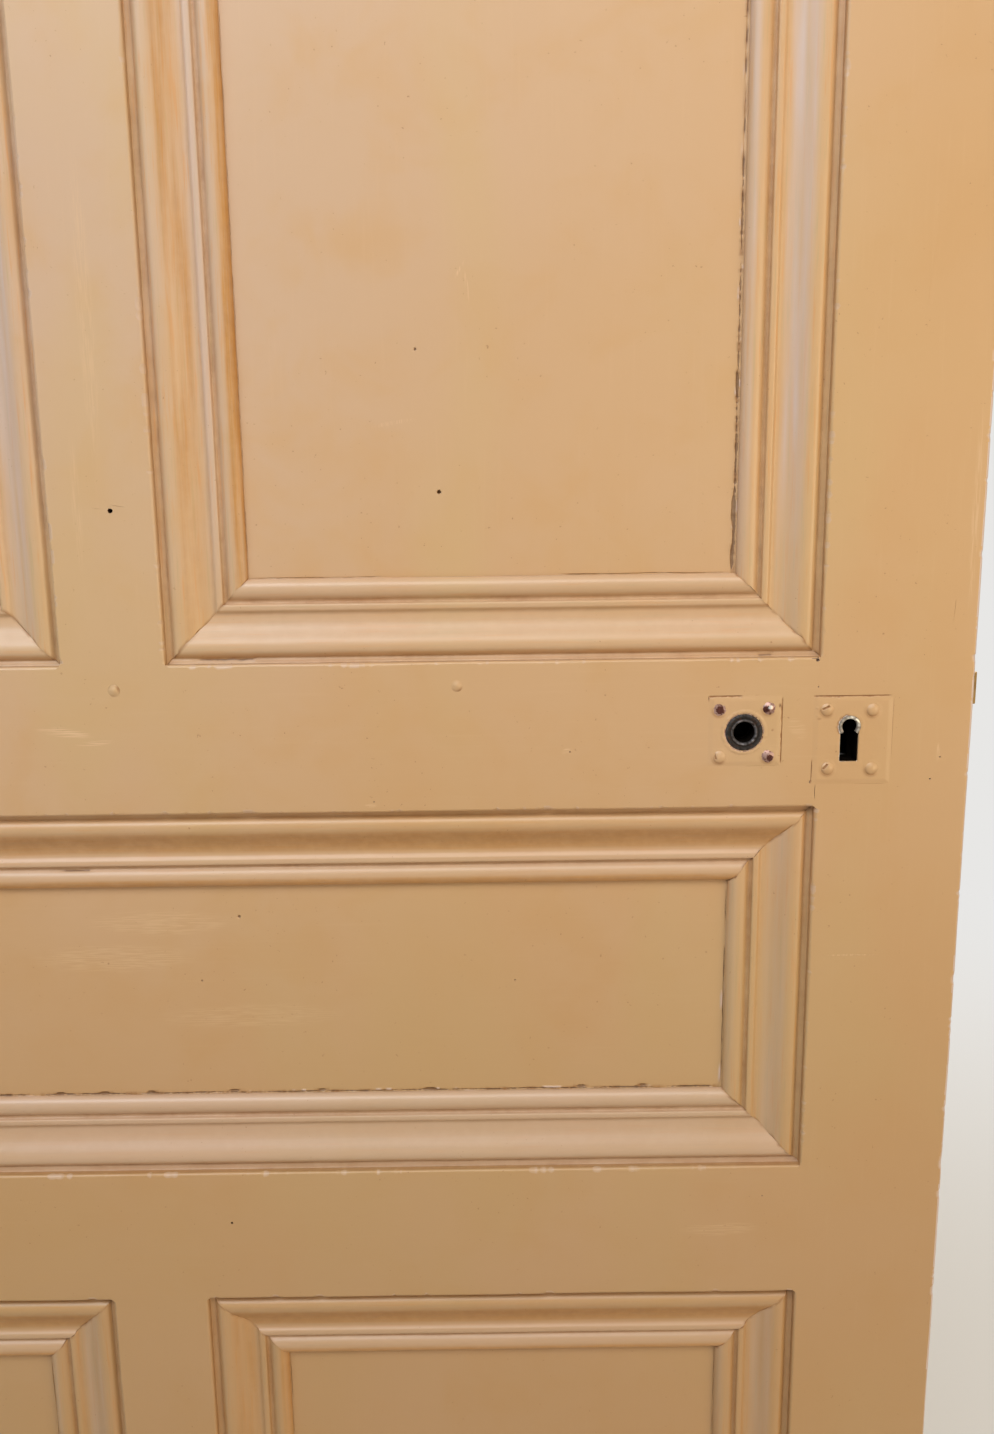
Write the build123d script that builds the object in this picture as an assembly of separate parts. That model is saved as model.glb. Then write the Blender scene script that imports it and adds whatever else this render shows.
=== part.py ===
from build123d import *
import os

# Millimetres, +Z up. The decorated face looks towards -Y, X runs to the right across it.
# Sizes are laid out with y = 0 on that face and x = 0 on the door's middle, then moved at the end.

# door leaf
leaf_w = 915.0
leaf_h = 2080.0
leaf_t = 44.0
stile_w = 82.5
muntin_w = 56.0
bottom_rail_h = 210.0
lower_opening_h = 416.0
middle_rail_h = 82.0
middle_opening_h = 214.5
lock_rail_h = 82.0
top_rail_h = 82.0

# panels and the grooves that hold them
panel_front = 11.0
panel_t = 15.0
groove_d = 9.0
tongue_d = 8.0
moulding_w = 44.4

# tenons and wedges
haunch_inset = 9.0
tenon_inset = 12.0
edge_inset = 20.0
top_inset = 24.0
twin_apart = 34.0
wedge_t = 5.0
wedge_len = 60.0
twin_cheek = 4.0
twin_t = 7.0
muntin_tenon_len = 30.0
muntin_tenon_half = 19.0

# peg and nail in the lock rail, placed down from its top edge
peg_x, peg_drop, peg_r = 0.0, 13.2, 3.2
nail_x, nail_drop, nail_head_r = 182.0, 12.9, 3.2
nail_shank_r = 1.2
peg_len = 36.0
nail_len = 38.0
peg_rise = 0.8

# lock, placed in from the door's edge and up from the middle of its case
knob_backset = 122.2
key_backset = 65.6
lock_rise = 0.5
spindle_rise = 0.5
key_rise = 3.0
case_len = 150.0
case_h = 62.0
case_depth = 14.5
case_t = 15.0
case_wall = 2.0
case_gap = 0.5
cap_post_r = 3.0
cap_post_in = 6.0
cap_screw_r = 1.25
forend_t = 3.0
forend_w = 22.0
forend_half = 75.0
forend_screw_dz = 66.0
forend_screw_r = 2.0
forend_screw_len = 26.0
latch_out = 11.0
latch_rise = 10.0
latch_h = 18.0
latch_head_len = 17.5
latch_bevel = 7.4
bolt_t = 10.0
bolt_drop = 11.0
bolt_h = 16.0
bolt_head_len = 32.5
bolt_tail = 39.9
bolt_throw = 12.7
stump_r = 2.5
stump_from_key = 18.4
tail_t = 4.0
lug_in = 40.5
slide_gap = 0.3
fit_gap = 0.06

# plates on the face
plate_t = 1.6
plate_sunk = 1.2
knob_plate_w, knob_plate_h = 40.0, 39.0
knob_plate_in, knob_plate_down = 19.5, 18.9
knob_screws = ((-13.3, 12.4), (13.0, 12.9), (-13.0, -13.5), (13.1, -13.3))
key_plate_w, key_plate_h = 43.0, 49.0
key_plate_in, key_plate_down = 19.9, 32.0
key_screws = ((-12.5, 9.1), (11.9, 8.8), (-11.1, -23.0), (12.5, -23.4))
plate_screw_head_r = 3.5
plate_screw_shank_r = 1.7
plate_screw_len = 11.0
dome_h = 1.4
bush_r = 10.2
bush_barrel_r = 7.6
bush_bore_r = 5.6
back_bore_r = 6.5
bush_rim = 1.0
bush_bevel = 1.3
collar_r = 5.8
collar_rim = 0.3
collar_flange = 1.2
collar_flange_t = 0.8
keyhole_r = 4.1
keyhole_slot_half = 5.0
keyhole_slot_len = 19.3
key_bit_half = 3.5

# hinges
bottom_hinge_up = 225.0
middle_hinge_up = 1000.0
top_hinge_down = 150.0
hinge_h = 100.0
flap_t = 2.5
flap_gap = 2.5
flap_reach = 9.0
flap_end = 43.0
knuckle_r = 6.5
knuckle_gap = 0.3
pin_r = 3.5
pin_y = leaf_t + knuckle_r + 0.5
hinge_screw_front = 17.0
hinge_screw_apart = 18.0
hinge_screw_dz = 36.0
hinge_screw_r = 2.2
hinge_screw_len = 28.0
hinge_hole_r = 2.6
pin_foot = 2.0
pin_head = 2.5

# places that follow from the sizes above
edge_x = leaf_w / 2
stile_in = edge_x - stile_w
muntin_half = muntin_w / 2
lower_opening_top = bottom_rail_h + lower_opening_h
middle_opening_bottom = lower_opening_top + middle_rail_h
middle_opening_top = middle_opening_bottom + middle_opening_h
upper_opening_bottom = middle_opening_top + lock_rail_h
upper_opening_top = leaf_h - top_rail_h
groove_back = panel_front + panel_t
twin_front = (twin_cheek, twin_cheek + twin_t)
twin_back = (leaf_t - twin_cheek - twin_t, leaf_t - twin_cheek)
peg_z = upper_opening_bottom - peg_drop
nail_z = upper_opening_bottom - nail_drop
lock_z = middle_opening_top + lock_rail_h / 2 + lock_rise
spindle_x, spindle_z = edge_x - knob_backset, lock_z + spindle_rise
key_x, key_z = edge_x - key_backset, lock_z + key_rise
keyhole_bottom = key_z - keyhole_slot_len
forend_in = edge_x - forend_t
case_in = forend_in - case_len
case_low = lock_z - case_h / 2
case_high = lock_z + case_h / 2
case_front = case_depth
case_back = case_front + case_t
case_mid = case_front + case_t / 2
cap_front = case_back - case_wall
forend_front = case_mid - forend_w / 2
forend_back = case_mid + forend_w / 2
latch_low = lock_z + latch_rise
latch_high = latch_low + latch_h
latch_back = edge_x - latch_head_len
bolt_high = lock_z - bolt_drop
bolt_low = bolt_high - bolt_h
bolt_mid = (bolt_low + bolt_high) / 2
bolt_front = case_mid - bolt_t / 2
bolt_back = case_mid + bolt_t / 2
tail_front = case_mid - tail_t / 2
tail_back = case_mid + tail_t / 2
stump_x = key_x - stump_from_key
plate_back = plate_sunk
plate_face = plate_sunk - plate_t
knob_plate_box = (
    spindle_x - knob_plate_in,
    spindle_x - knob_plate_in + knob_plate_w,
    spindle_z - knob_plate_down,
    spindle_z - knob_plate_down + knob_plate_h,
)
key_plate_box = (
    key_x - key_plate_in,
    key_x - key_plate_in + key_plate_w,
    key_z - key_plate_down,
    key_z - key_plate_down + key_plate_h,
)
knob_screw_at = tuple((spindle_x + dx, spindle_z + dz) for dx, dz in knob_screws)
key_screw_at = tuple((key_x + dx, key_z + dz) for dx, dz in key_screws)
hinge_low = {
    "bottom_hinge": bottom_hinge_up,
    "middle_hinge": middle_hinge_up,
    "top_hinge": leaf_h - top_hinge_down - hinge_h,
}
hinge_screw_y = (hinge_screw_front, hinge_screw_front + hinge_screw_apart)
pin_x = -edge_x - flap_gap / 2

# the whole is moved so that the middle of its box stands on x = 0, y = 0
low_x = pin_x - knuckle_r
high_x = edge_x + latch_out
low_y = plate_face - dome_h
high_y = pin_y + knuckle_r
shift = Location((-(low_x + high_x) / 2, -(low_y + high_y) / 2, 0))


def slab(x0, x1, y0, y1, z0, z1):
    box = Box(x1 - x0, y1 - y0, z1 - z0, align=(Align.MIN, Align.MIN, Align.MIN))
    return Pos(x0, y0, z0) * box


def rod_y(x, z, r, y0, y1):
    rod = Cylinder(r, y1 - y0, align=(Align.CENTER, Align.CENTER, Align.MIN))
    return Pos(x, y0, z) * Rot(-90, 0, 0) * rod


def rod_x(y, z, r, x0, x1):
    rod = Cylinder(r, x1 - x0, align=(Align.CENTER, Align.CENTER, Align.MIN))
    return Pos(x0, y, z) * Rot(0, 90, 0) * rod


def rod_z(x, y, r, z0, z1):
    rod = Cylinder(r, z1 - z0, align=(Align.CENTER, Align.CENTER, Align.MIN))
    return Pos(x, y, z0) * rod


def plan_xz(points, y0, y1):
    # a solid with the given outline in the X-Z plane, from y0 to y1
    face = make_face(Polyline(*[(x, y0, z) for x, z in points], close=True))
    return extrude(face, amount=y1 - y0, dir=(0, 1, 0))


def plan_xy(points, z0, z1):
    # a solid with the given outline in the X-Y plane, from z0 to z1
    face = make_face(Polyline(*[(x, y, z0) for x, y in points], close=True))
    return extrude(face, amount=z1 - z0, dir=(0, 0, 1))


def whole(shape):
    # the single solid of a result
    return shape.solids()[0]


# joinery

def rail_tenons():
    # name, bottom and top of the rail, z ranges of its tenons, whether each edge takes a panel
    low_tenon_h = (bottom_rail_h - 2 * edge_inset - twin_apart) / 2
    return {
        "bottom_rail": (
            0.0,
            bottom_rail_h,
            (
                (edge_inset, edge_inset + low_tenon_h),
                (bottom_rail_h - edge_inset - low_tenon_h, bottom_rail_h - edge_inset),
            ),
            False,
            True,
        ),
        "middle_rail": (
            lower_opening_top,
            middle_opening_bottom,
            ((lower_opening_top + tenon_inset, middle_opening_bottom - tenon_inset),),
            True,
            True,
        ),
        "lock_rail": (
            middle_opening_top,
            upper_opening_bottom,
            ((middle_opening_top + tenon_inset, upper_opening_bottom - tenon_inset),),
            True,
            True,
        ),
        "top_rail": (
            upper_opening_top,
            leaf_h,
            ((upper_opening_top + tenon_inset, leaf_h - top_inset),),
            True,
            False,
        ),
    }


def tenon_layers(rail, side):
    # the lock splits the lock rail's tenon into two thin ones in front of it and behind it
    if rail == "lock_rail" and side > 0:
        return (twin_front, twin_back)
    return ((panel_front, groove_back),)


def wedges_at(z0, z1, y0, y1, side):
    out = side * edge_x
    tip = side * (edge_x - wedge_len)
    upper = plan_xz([(out, z1), (out, z1 + wedge_t), (tip, z1)], y0, y1)
    lower = plan_xz([(out, z0), (out, z0 - wedge_t), (tip, z0)], y0, y1)
    return [upper, lower]


def lock_cuts():
    # what the lock and its plates take out of the wood
    cuts = []
    pocket_in = case_in - case_gap
    pocket_low = case_low - case_gap
    pocket_high = case_high + case_gap
    cuts.append(slab(pocket_in, edge_x, case_front - case_gap, case_back + case_gap, pocket_low, pocket_high))
    forend_low = lock_z - forend_half
    forend_high = lock_z + forend_half
    cuts.append(slab(forend_in, edge_x + 1, forend_front, forend_back, forend_low, forend_high))
    for box in (knob_plate_box, key_plate_box):
        cuts.append(slab(box[0], box[1], -1, plate_sunk, box[2], box[3]))
    for x, z in knob_screw_at + key_screw_at:
        cuts.append(rod_y(x, z, plate_screw_shank_r + fit_gap, 0, plate_face + plate_screw_len + 0.5))
    cuts.append(rod_y(spindle_x, spindle_z, bush_barrel_r + fit_gap, -1, case_front))
    cuts.append(rod_y(spindle_x, spindle_z, back_bore_r, case_back, leaf_t + 1))
    cuts.append(rod_y(key_x, key_z, collar_r + collar_flange, -1, leaf_t + 1))
    half = keyhole_slot_half + 0.5
    cuts.append(slab(key_x - half, key_x + half, -1, leaf_t + 1, keyhole_bottom - 0.5, key_z))
    for dz in (-forend_screw_dz, forend_screw_dz):
        deep = edge_x - forend_screw_len - 5.0
        cuts.append(rod_x(case_mid, lock_z + dz, forend_screw_r + fit_gap, deep, edge_x))
    return cuts


def stile(side):
    low, high = sorted((side * stile_in, side * edge_x))
    body = slab(low, high, 0, leaf_t, 0, leaf_h)
    groove = sorted((side * stile_in, side * (stile_in + groove_d)))
    body -= slab(groove[0], groove[1], panel_front, groove_back, 0, leaf_h)
    for rail, (z0, z1, tenons, below, above) in rail_tenons().items():
        for t0, t1 in tenons:
            for y0, y1 in tenon_layers(rail, side):
                body -= slab(low, high, y0, y1, t0, t1)
                for wedge in wedges_at(t0, t1, y0, y1, side):
                    body -= wedge
    return body


def rail(name):
    z0, z1, tenons, below, above = rail_tenons()[name]
    body = slab(-stile_in, stile_in, 0, leaf_t, z0, z1)
    haunch_low = z0 + (haunch_inset if below else 0)
    haunch_high = z1 - (haunch_inset if above else 0)
    for side in (-1, 1):
        inner, outer = side * stile_in, side * (stile_in + groove_d)
        low, high = sorted((inner, outer))
        body += slab(low, high, panel_front, groove_back, haunch_low, haunch_high)
        low, high = sorted((inner, side * edge_x))
        for t0, t1 in tenons:
            for y0, y1 in tenon_layers(name, side):
                body += slab(low, high, y0, y1, t0, t1)
    if below:
        body -= slab(-stile_in, stile_in, panel_front, groove_back, z0, z0 + groove_d)
    if above:
        body -= slab(-stile_in, stile_in, panel_front, groove_back, z1 - groove_d, z1)
    return body


def muntin_mortice(z0, z1):
    half = muntin_tenon_half
    return slab(-half, half, panel_front, groove_back, z0, z1)


def muntin(z0, z1):
    body = slab(-muntin_half, muntin_half, 0, leaf_t, z0, z1)
    for side in (-1, 1):
        low, high = sorted((side * muntin_tenon_half, side * muntin_half))
        body -= slab(low, high, panel_front, groove_back, z0, z1)
    body += muntin_mortice(z0 - muntin_tenon_len, z1 + muntin_tenon_len)
    return body


def leaf_openings():
    return {
        "upper_left": (-stile_in, -muntin_half, upper_opening_bottom, upper_opening_top),
        "upper_right": (muntin_half, stile_in, upper_opening_bottom, upper_opening_top),
        "middle": (-stile_in, stile_in, middle_opening_bottom, middle_opening_top),
        "lower_left": (-stile_in, -muntin_half, bottom_rail_h, lower_opening_top),
        "lower_right": (muntin_half, stile_in, bottom_rail_h, lower_opening_top),
    }


def panel(x0, x1, z0, z1):
    d = tongue_d
    return slab(x0 - d, x1 + d, panel_front, groove_back, z0 - d, z1 + d)


# mouldings

def moulding_section():
    # u runs from the frame's edge towards the panel, depth is measured back from the door's face
    floor_a = (0.0, 4.4)
    floor_b = (2.2, 5.0)
    dip = (3.0, 5.5)
    crest = (7.0, 2.3)
    hump_end = (11.5, 3.3)
    hollow = (18.3, 7.3)
    hollow_end = (25.6, 8.8)
    fillet_a = (27.8, 7.3)
    fillet_b = (30.8, 7.2)
    quirk_a = (31.2, 9.2)
    quirk_b = (33.4, 9.2)
    bead_top = (38.6, 6.3)
    bead_end = (moulding_w, panel_front - 0.4)
    foot = (moulding_w, panel_front)
    heel = (0.0, panel_front)
    return (
        ("line", heel, floor_a),
        ("line", floor_a, floor_b),
        ("line", floor_b, dip),
        ("arc", dip, crest, hump_end),
        ("arc", hump_end, hollow, hollow_end),
        ("line", hollow_end, fillet_a),
        ("line", fillet_a, fillet_b),
        ("line", fillet_b, quirk_a),
        ("line", quirk_a, quirk_b),
        ("arc", quirk_b, bead_top, bead_end),
        ("line", bead_end, foot),
        ("line", foot, heel),
    )


def section_face(place):
    edges = []
    for kind, *points in moulding_section():
        spots = [place(u, y) for u, y in points]
        if kind == "line":
            edges.append(Line(*spots))
        else:
            edges.append(ThreePointArc(*spots))
    return make_face(Curve() + edges)


def strip(side, x0, x1, z0, z1):
    w = moulding_w
    if side == "bottom":
        face = section_face(lambda u, y: (x0, y, z0 + u))
        bar = extrude(face, amount=x1 - x0, dir=(1, 0, 0))
        outline = [(x0, z0), (x1, z0), (x1 - w, z0 + w), (x0 + w, z0 + w)]
    elif side == "top":
        face = section_face(lambda u, y: (x0, y, z1 - u))
        bar = extrude(face, amount=x1 - x0, dir=(1, 0, 0))
        outline = [(x0, z1), (x1, z1), (x1 - w, z1 - w), (x0 + w, z1 - w)]
    elif side == "left":
        face = section_face(lambda u, y: (x0 + u, y, z0))
        bar = extrude(face, amount=z1 - z0, dir=(0, 0, 1))
        outline = [(x0, z0), (x0 + w, z0 + w), (x0 + w, z1 - w), (x0, z1)]
    else:
        face = section_face(lambda u, y: (x1 - u, y, z0))
        bar = extrude(face, amount=z1 - z0, dir=(0, 0, 1))
        outline = [(x1, z0), (x1 - w, z0 + w), (x1 - w, z1 - w), (x1, z1)]
    return bar & plan_xz(outline, 0, panel_front)


# lock

def lock_case():
    body = slab(case_in, forend_in, case_front, cap_front, case_low, case_high)
    w = case_wall
    body -= slab(case_in + w, forend_in - w, case_front + w, cap_front, case_low + w, case_high - w)
    for x, z in cap_screw_places():
        body += rod_y(x, z, cap_post_r, case_front, cap_front)
        body -= rod_y(x, z, cap_screw_r + fit_gap, case_front + 4, cap_front)
    post = latch_back - 22.0
    body += slab(post - 4.0, post, case_front + w, cap_front, latch_low + 0.5, latch_low + 10.5)
    body -= rod_y(spindle_x, spindle_z, 6.0 + fit_gap, case_front, cap_front)
    body -= keyhole_way(case_front - 1, case_front + w)
    g = slide_gap
    latch_t = latch_half() + g
    front, back = case_mid - latch_t, case_mid + latch_t
    body -= slab(forend_in - w, forend_in, front, back, latch_low - g, latch_high - g / 2)
    body -= slab(forend_in - w, forend_in, bolt_front - g, bolt_back + g, bolt_low - g, bolt_high + g)
    body += rod_y(stump_x, bolt_mid, stump_r, case_front + w, cap_front)
    lug = case_in + lug_in
    body += slab(lug, lug + 5.0, case_front + w, cap_front, bolt_high + 3.0, bolt_high + 7.0)
    return body


def latch_half():
    return bolt_t / 2 + 0.2


def keyhole_way(y0, y1):
    slot = slab(key_x - key_bit_half, key_x + key_bit_half, y0, y1, keyhole_bottom, key_z)
    return rod_y(key_x, key_z, keyhole_r, y0, y1) + slot


def cap_screw_places():
    d = cap_post_in
    return ((case_in + d, case_low + d), (case_in + d, case_high - d), (forend_in - d - 2.5, lock_z - 0.2))


def lock_cap():
    body = slab(case_in, forend_in, cap_front, case_back, case_low, case_high)
    for x, z in cap_screw_places():
        hole = cap_screw_r + 0.35
        body -= rod_y(x, z, hole, cap_front, case_back)
        body -= countersink(x, z, case_back, hole, hole + 1.0)
    body -= rod_y(spindle_x, spindle_z, 6.0 + fit_gap, cap_front, case_back)
    body -= keyhole_way(cap_front, case_back)
    return body


def countersink(x, z, y, r_small, r_big):
    # a cone that opens towards +Y and reaches its big radius at y
    depth = r_big - r_small
    cone = Cone(r_small, r_big, depth, align=(Align.CENTER, Align.CENTER, Align.MIN))
    return Pos(x, y - depth, z) * Rot(-90, 0, 0) * cone


def lock_cap_screws():
    screws = []
    for x, z in cap_screw_places():
        body = rod_y(x, z, cap_screw_r, case_front + 5, case_back - 0.5)
        body += countersink(x, z, case_back - 0.1, cap_screw_r + 0.05, cap_screw_r + 1.15)
        body -= slab(x - 3, x + 3, case_back - 0.7, case_back, z - 0.35, z + 0.35)
        screws.append(whole(body))
    return screws


def forend():
    body = slab(forend_in, edge_x, forend_front, forend_back, lock_z - forend_half, lock_z + forend_half)
    g = slide_gap
    latch_t = latch_half() + g
    body -= slab(forend_in, edge_x, case_mid - latch_t, case_mid + latch_t, latch_low - g, latch_high - g / 2)
    body -= slab(forend_in, edge_x, bolt_front - g, bolt_back + g, bolt_low - g, bolt_high + g)
    hole = forend_screw_r + 0.2
    for dz in (-forend_screw_dz, forend_screw_dz):
        body -= rod_x(case_mid, lock_z + dz, hole, forend_in, edge_x)
        body -= side_cone(case_mid, lock_z + dz, edge_x, hole, hole + 2.0, 1)
    return body


def side_cone(y, z, x, r_small, r_big, side):
    # a cone along X that reaches its big radius at x and opens towards the given side
    depth = r_big - r_small
    cone = Cone(r_small, r_big, depth, align=(Align.CENTER, Align.CENTER, Align.MIN))
    return Pos(x - side * depth, y, z) * Rot(0, side * 90, 0) * cone


def side_screw(y, z, x, side, shank_r, head_r, length, slot_along_z):
    # a countersunk wood screw driven along X, its head flush with the plane x
    inward = -side
    tip = x + inward * length
    neck = x + inward * (length - 6)
    low, high = sorted((x + inward * 0.5, neck))
    body = rod_x(y, z, shank_r, low, high)
    point = Cone(shank_r, 0.3, 6, align=(Align.CENTER, Align.CENTER, Align.MIN))
    body += Pos(neck, y, z) * Rot(0, inward * 90, 0) * point
    body += side_cone(y, z, x - side * 0.1, shank_r, head_r, side)
    if slot_along_z:
        body -= slab(min(x, x + inward * 0.9), max(x, x + inward * 0.9), y - 0.5, y + 0.5, z - 5, z + 5)
    else:
        body -= slab(min(x, x + inward * 0.9), max(x, x + inward * 0.9), y - 5, y + 5, z - 0.5, z + 0.5)
    return whole(body)


def forend_screws():
    r, length = forend_screw_r, forend_screw_len
    places = (-forend_screw_dz, forend_screw_dz)
    return [side_screw(case_mid, lock_z + dz, edge_x, 1, r, r + 1.9, length, dz > 0) for dz in places]


def latch_bolt():
    tip = edge_x + latch_out
    front, back = case_mid - latch_half(), case_mid + latch_half()
    nose = front + latch_bevel
    head = [(latch_back, front), (edge_x + 0.5, front), (tip, nose), (tip, back), (latch_back, back)]
    body = plan_xy(head, latch_low, latch_high - slide_gap)
    lip_right = spindle_x - 3.0 - slide_gap
    tail_top = latch_high - 1.0
    body += slab(lip_right - 5.0, latch_back + 2.0, tail_front, tail_back, tail_top - 5.2, tail_top)
    body += slab(lip_right - 5.0, lip_right, case_mid - 4.0, case_mid + 4.0, latch_low + 2.0, tail_top)
    return body


def latch_spring():
    # a flat strip folded to a V between the case's post and the back of the latch bolt's head
    left, right = latch_back - 22.0, latch_back
    mid, top, low = (left + right) / 2, latch_low + 10.6, latch_low + 1.0
    outer = [(left, top), (mid - 2.4, low), (mid + 2.4, low), (right, top)]
    inner = [(right - 1.0, top), (mid + 1.9, low + 0.9), (mid - 1.9, low + 0.9), (left + 1.0, top)]
    return plan_xz(outer + inner, case_mid - 3.0, case_mid + 3.0)


def follower():
    body = rod_y(spindle_x, spindle_z, 9.0, case_front + 3.0, cap_front - 1.0)
    body += rod_y(spindle_x, spindle_z, 6.0, case_front, case_back)
    body += slab(spindle_x - 3.0, spindle_x + 3.0, case_mid - 4.0, case_mid + 4.0, spindle_z, latch_low + 10.0)
    body -= slab(spindle_x - 4.0, spindle_x + 4.0, 0, leaf_t, spindle_z - 4.0, spindle_z + 4.0)
    return body


def dead_bolt():
    head_in = edge_x - bolt_head_len
    body = slab(head_in, edge_x - slide_gap, bolt_front, bolt_back, bolt_low, bolt_high)
    body += slab(key_x - bolt_tail, head_in + 1.0, tail_front, tail_back, bolt_low, bolt_high)
    body -= slab(key_x - 11.9, key_x + 6.6, 0, leaf_t, keyhole_bottom - 0.7, bolt_high)
    r = stump_r + slide_gap
    slot = slab(stump_x - bolt_throw, stump_x, tail_front - 1, tail_back + 1, bolt_mid - r, bolt_mid + r)
    slot += rod_y(stump_x - bolt_throw, bolt_mid, r, tail_front - 1, tail_back + 1)
    slot += rod_y(stump_x, bolt_mid, r, tail_front - 1, tail_back + 1)
    return body - slot


def bolt_spring():
    # a bent strip clipped under the case's lug, its free end over the dead bolt's tail
    lug, top = case_in + lug_in, bolt_high + 3.0
    points = [(lug, top), (lug + 6.0, top), (lug + 27.0, top - 1.8), (lug + 33.0, top - 1.4)]
    lower = [(x, z - 0.8) for x, z in points]
    return plan_xz(points + lower[::-1], tail_front, tail_back)


# plates on the face

def knob_plate():
    x0, x1, z0, z1 = knob_plate_box
    body = slab(x0, x1, plate_face, plate_back, z0, z1)
    body -= rod_y(spindle_x, spindle_z, bush_barrel_r + fit_gap, plate_face, plate_back)
    for x, z in knob_screw_at:
        body -= rod_y(x, z, plate_screw_shank_r + 0.2, plate_face, plate_back)
    return body


def knob_bush():
    front = plate_face - bush_rim
    body = rod_y(spindle_x, spindle_z, bush_r, front, plate_face)
    body += rod_y(spindle_x, spindle_z, bush_barrel_r, plate_face, case_front - 1.5)
    body -= rod_y(spindle_x, spindle_z, bush_bore_r, front, case_front)
    b = bush_bevel
    cone = Cone(bush_bore_r, bush_bore_r + b, b, align=(Align.CENTER, Align.CENTER, Align.MIN))
    body -= Pos(spindle_x, front + b, spindle_z) * Rot(90, 0, 0) * cone
    return body


def plate_screw(x, z, slotted):
    # a round-headed screw: a slice of a ball over a shank
    r = plate_screw_head_r
    ball_r = (r * r + dome_h * dome_h) / (2 * dome_h)
    ball = Pos(x, plate_face - dome_h + ball_r, z) * Sphere(ball_r)
    head = ball & slab(x - 6, x + 6, plate_face - dome_h - 1, plate_face, z - 6, z + 6)
    neck = plate_face + plate_screw_len - 3
    body = head + rod_y(x, z, plate_screw_shank_r, plate_face, neck)
    point = Cone(plate_screw_shank_r, 0.3, 3, align=(Align.CENTER, Align.CENTER, Align.MIN))
    body += Pos(x, neck, z) * Rot(-90, 0, 0) * point
    if slotted:
        body -= slab(x - 5, x + 5, plate_face - 3, plate_face - dome_h + 0.7, z - 0.4, z + 0.4)
    return whole(body)


def knob_plate_screws():
    return [plate_screw(x, z, True) for x, z in knob_screw_at]


def key_plate_screws():
    return [plate_screw(x, z, x < key_x) for x, z in key_screw_at]


def key_plate():
    x0, x1, z0, z1 = key_plate_box
    body = slab(x0, x1, plate_face, plate_back, z0, z1)
    body -= rod_y(key_x, key_z, collar_r + fit_gap, plate_face, plate_back)
    half = keyhole_slot_half
    body -= slab(key_x - half, key_x + half, plate_face, plate_back, keyhole_bottom, key_z)
    for x, z in key_screw_at:
        body -= rod_y(x, z, plate_screw_shank_r + 0.2, plate_face, plate_back)
    return body


def key_collar():
    # a split ring in the round of the keyhole, flanged behind the plate
    front, back = plate_face - collar_rim, plate_back + collar_flange_t
    body = rod_y(key_x, key_z, collar_r, front, plate_back)
    body += rod_y(key_x, key_z, collar_r + collar_flange, plate_back, back)
    body -= rod_y(key_x, key_z, keyhole_r, front, back)
    body -= slab(key_x - 4.4, key_x + 4.4, front, back, key_z - collar_r - 3.2, key_z - 2.4)
    return body


# hinges

def knuckle_spans(z0, parts):
    span = hinge_h / 5
    out = []
    for i in parts:
        low = z0 + i * span + (knuckle_gap / 2 if i > 0 else 0)
        high = z0 + (i + 1) * span - (knuckle_gap / 2 if i < 4 else 0)
        out.append((low, high))
    return out


def flap(z0, side, parts, bore_r):
    near = pin_x + side * flap_gap / 2
    far = near + side * flap_t
    low, high = sorted((near, far))
    body = slab(low, high, flap_reach, flap_end, z0, z0 + hinge_h)
    for a, b in knuckle_spans(z0, parts):
        body += slab(low, high, flap_end, pin_y, a, b)
        body += rod_z(pin_x, pin_y, knuckle_r, a, b)
    body -= rod_z(pin_x, pin_y, bore_r, z0, z0 + hinge_h)
    for y in hinge_screw_y:
        for dz in (-hinge_screw_dz, hinge_screw_dz):
            z = z0 + hinge_h / 2 + dz
            body -= rod_x(y, z, hinge_hole_r, low, high)
            body -= side_cone(y, z, near, hinge_hole_r, hinge_hole_r + 1.6, -side)
    return body


def hinge_pins():
    pins = []
    for z0 in hinge_low.values():
        top = z0 + hinge_h
        body = rod_z(pin_x, pin_y, pin_r, z0 - pin_foot, top)
        body += rod_z(pin_x, pin_y, knuckle_r - 1.0, top, top + pin_head)
        pins.append(whole(body))
    return pins


def hinge_screws():
    screws = []
    for z0 in hinge_low.values():
        for y in hinge_screw_y:
            for dz in (-hinge_screw_dz, hinge_screw_dz):
                z = z0 + hinge_h / 2 + dz
                r, length = hinge_screw_r, hinge_screw_len
                screws.append(side_screw(y, z, -edge_x, -1, r, r + 1.8, length, dz > 0))
    return screws


def hinge_cuts():
    cuts = []
    for z0 in hinge_low.values():
        cuts.append(slab(-edge_x, -edge_x + flap_t, flap_reach, leaf_t, z0, z0 + hinge_h))
        for y in hinge_screw_y:
            for dz in (-hinge_screw_dz, hinge_screw_dz):
                z = z0 + hinge_h / 2 + dz
                deep = -edge_x + hinge_screw_len + 0.5
                cuts.append(rod_x(y, z, hinge_screw_r + fit_gap, -edge_x, deep))
    return cuts


# assembly

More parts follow.
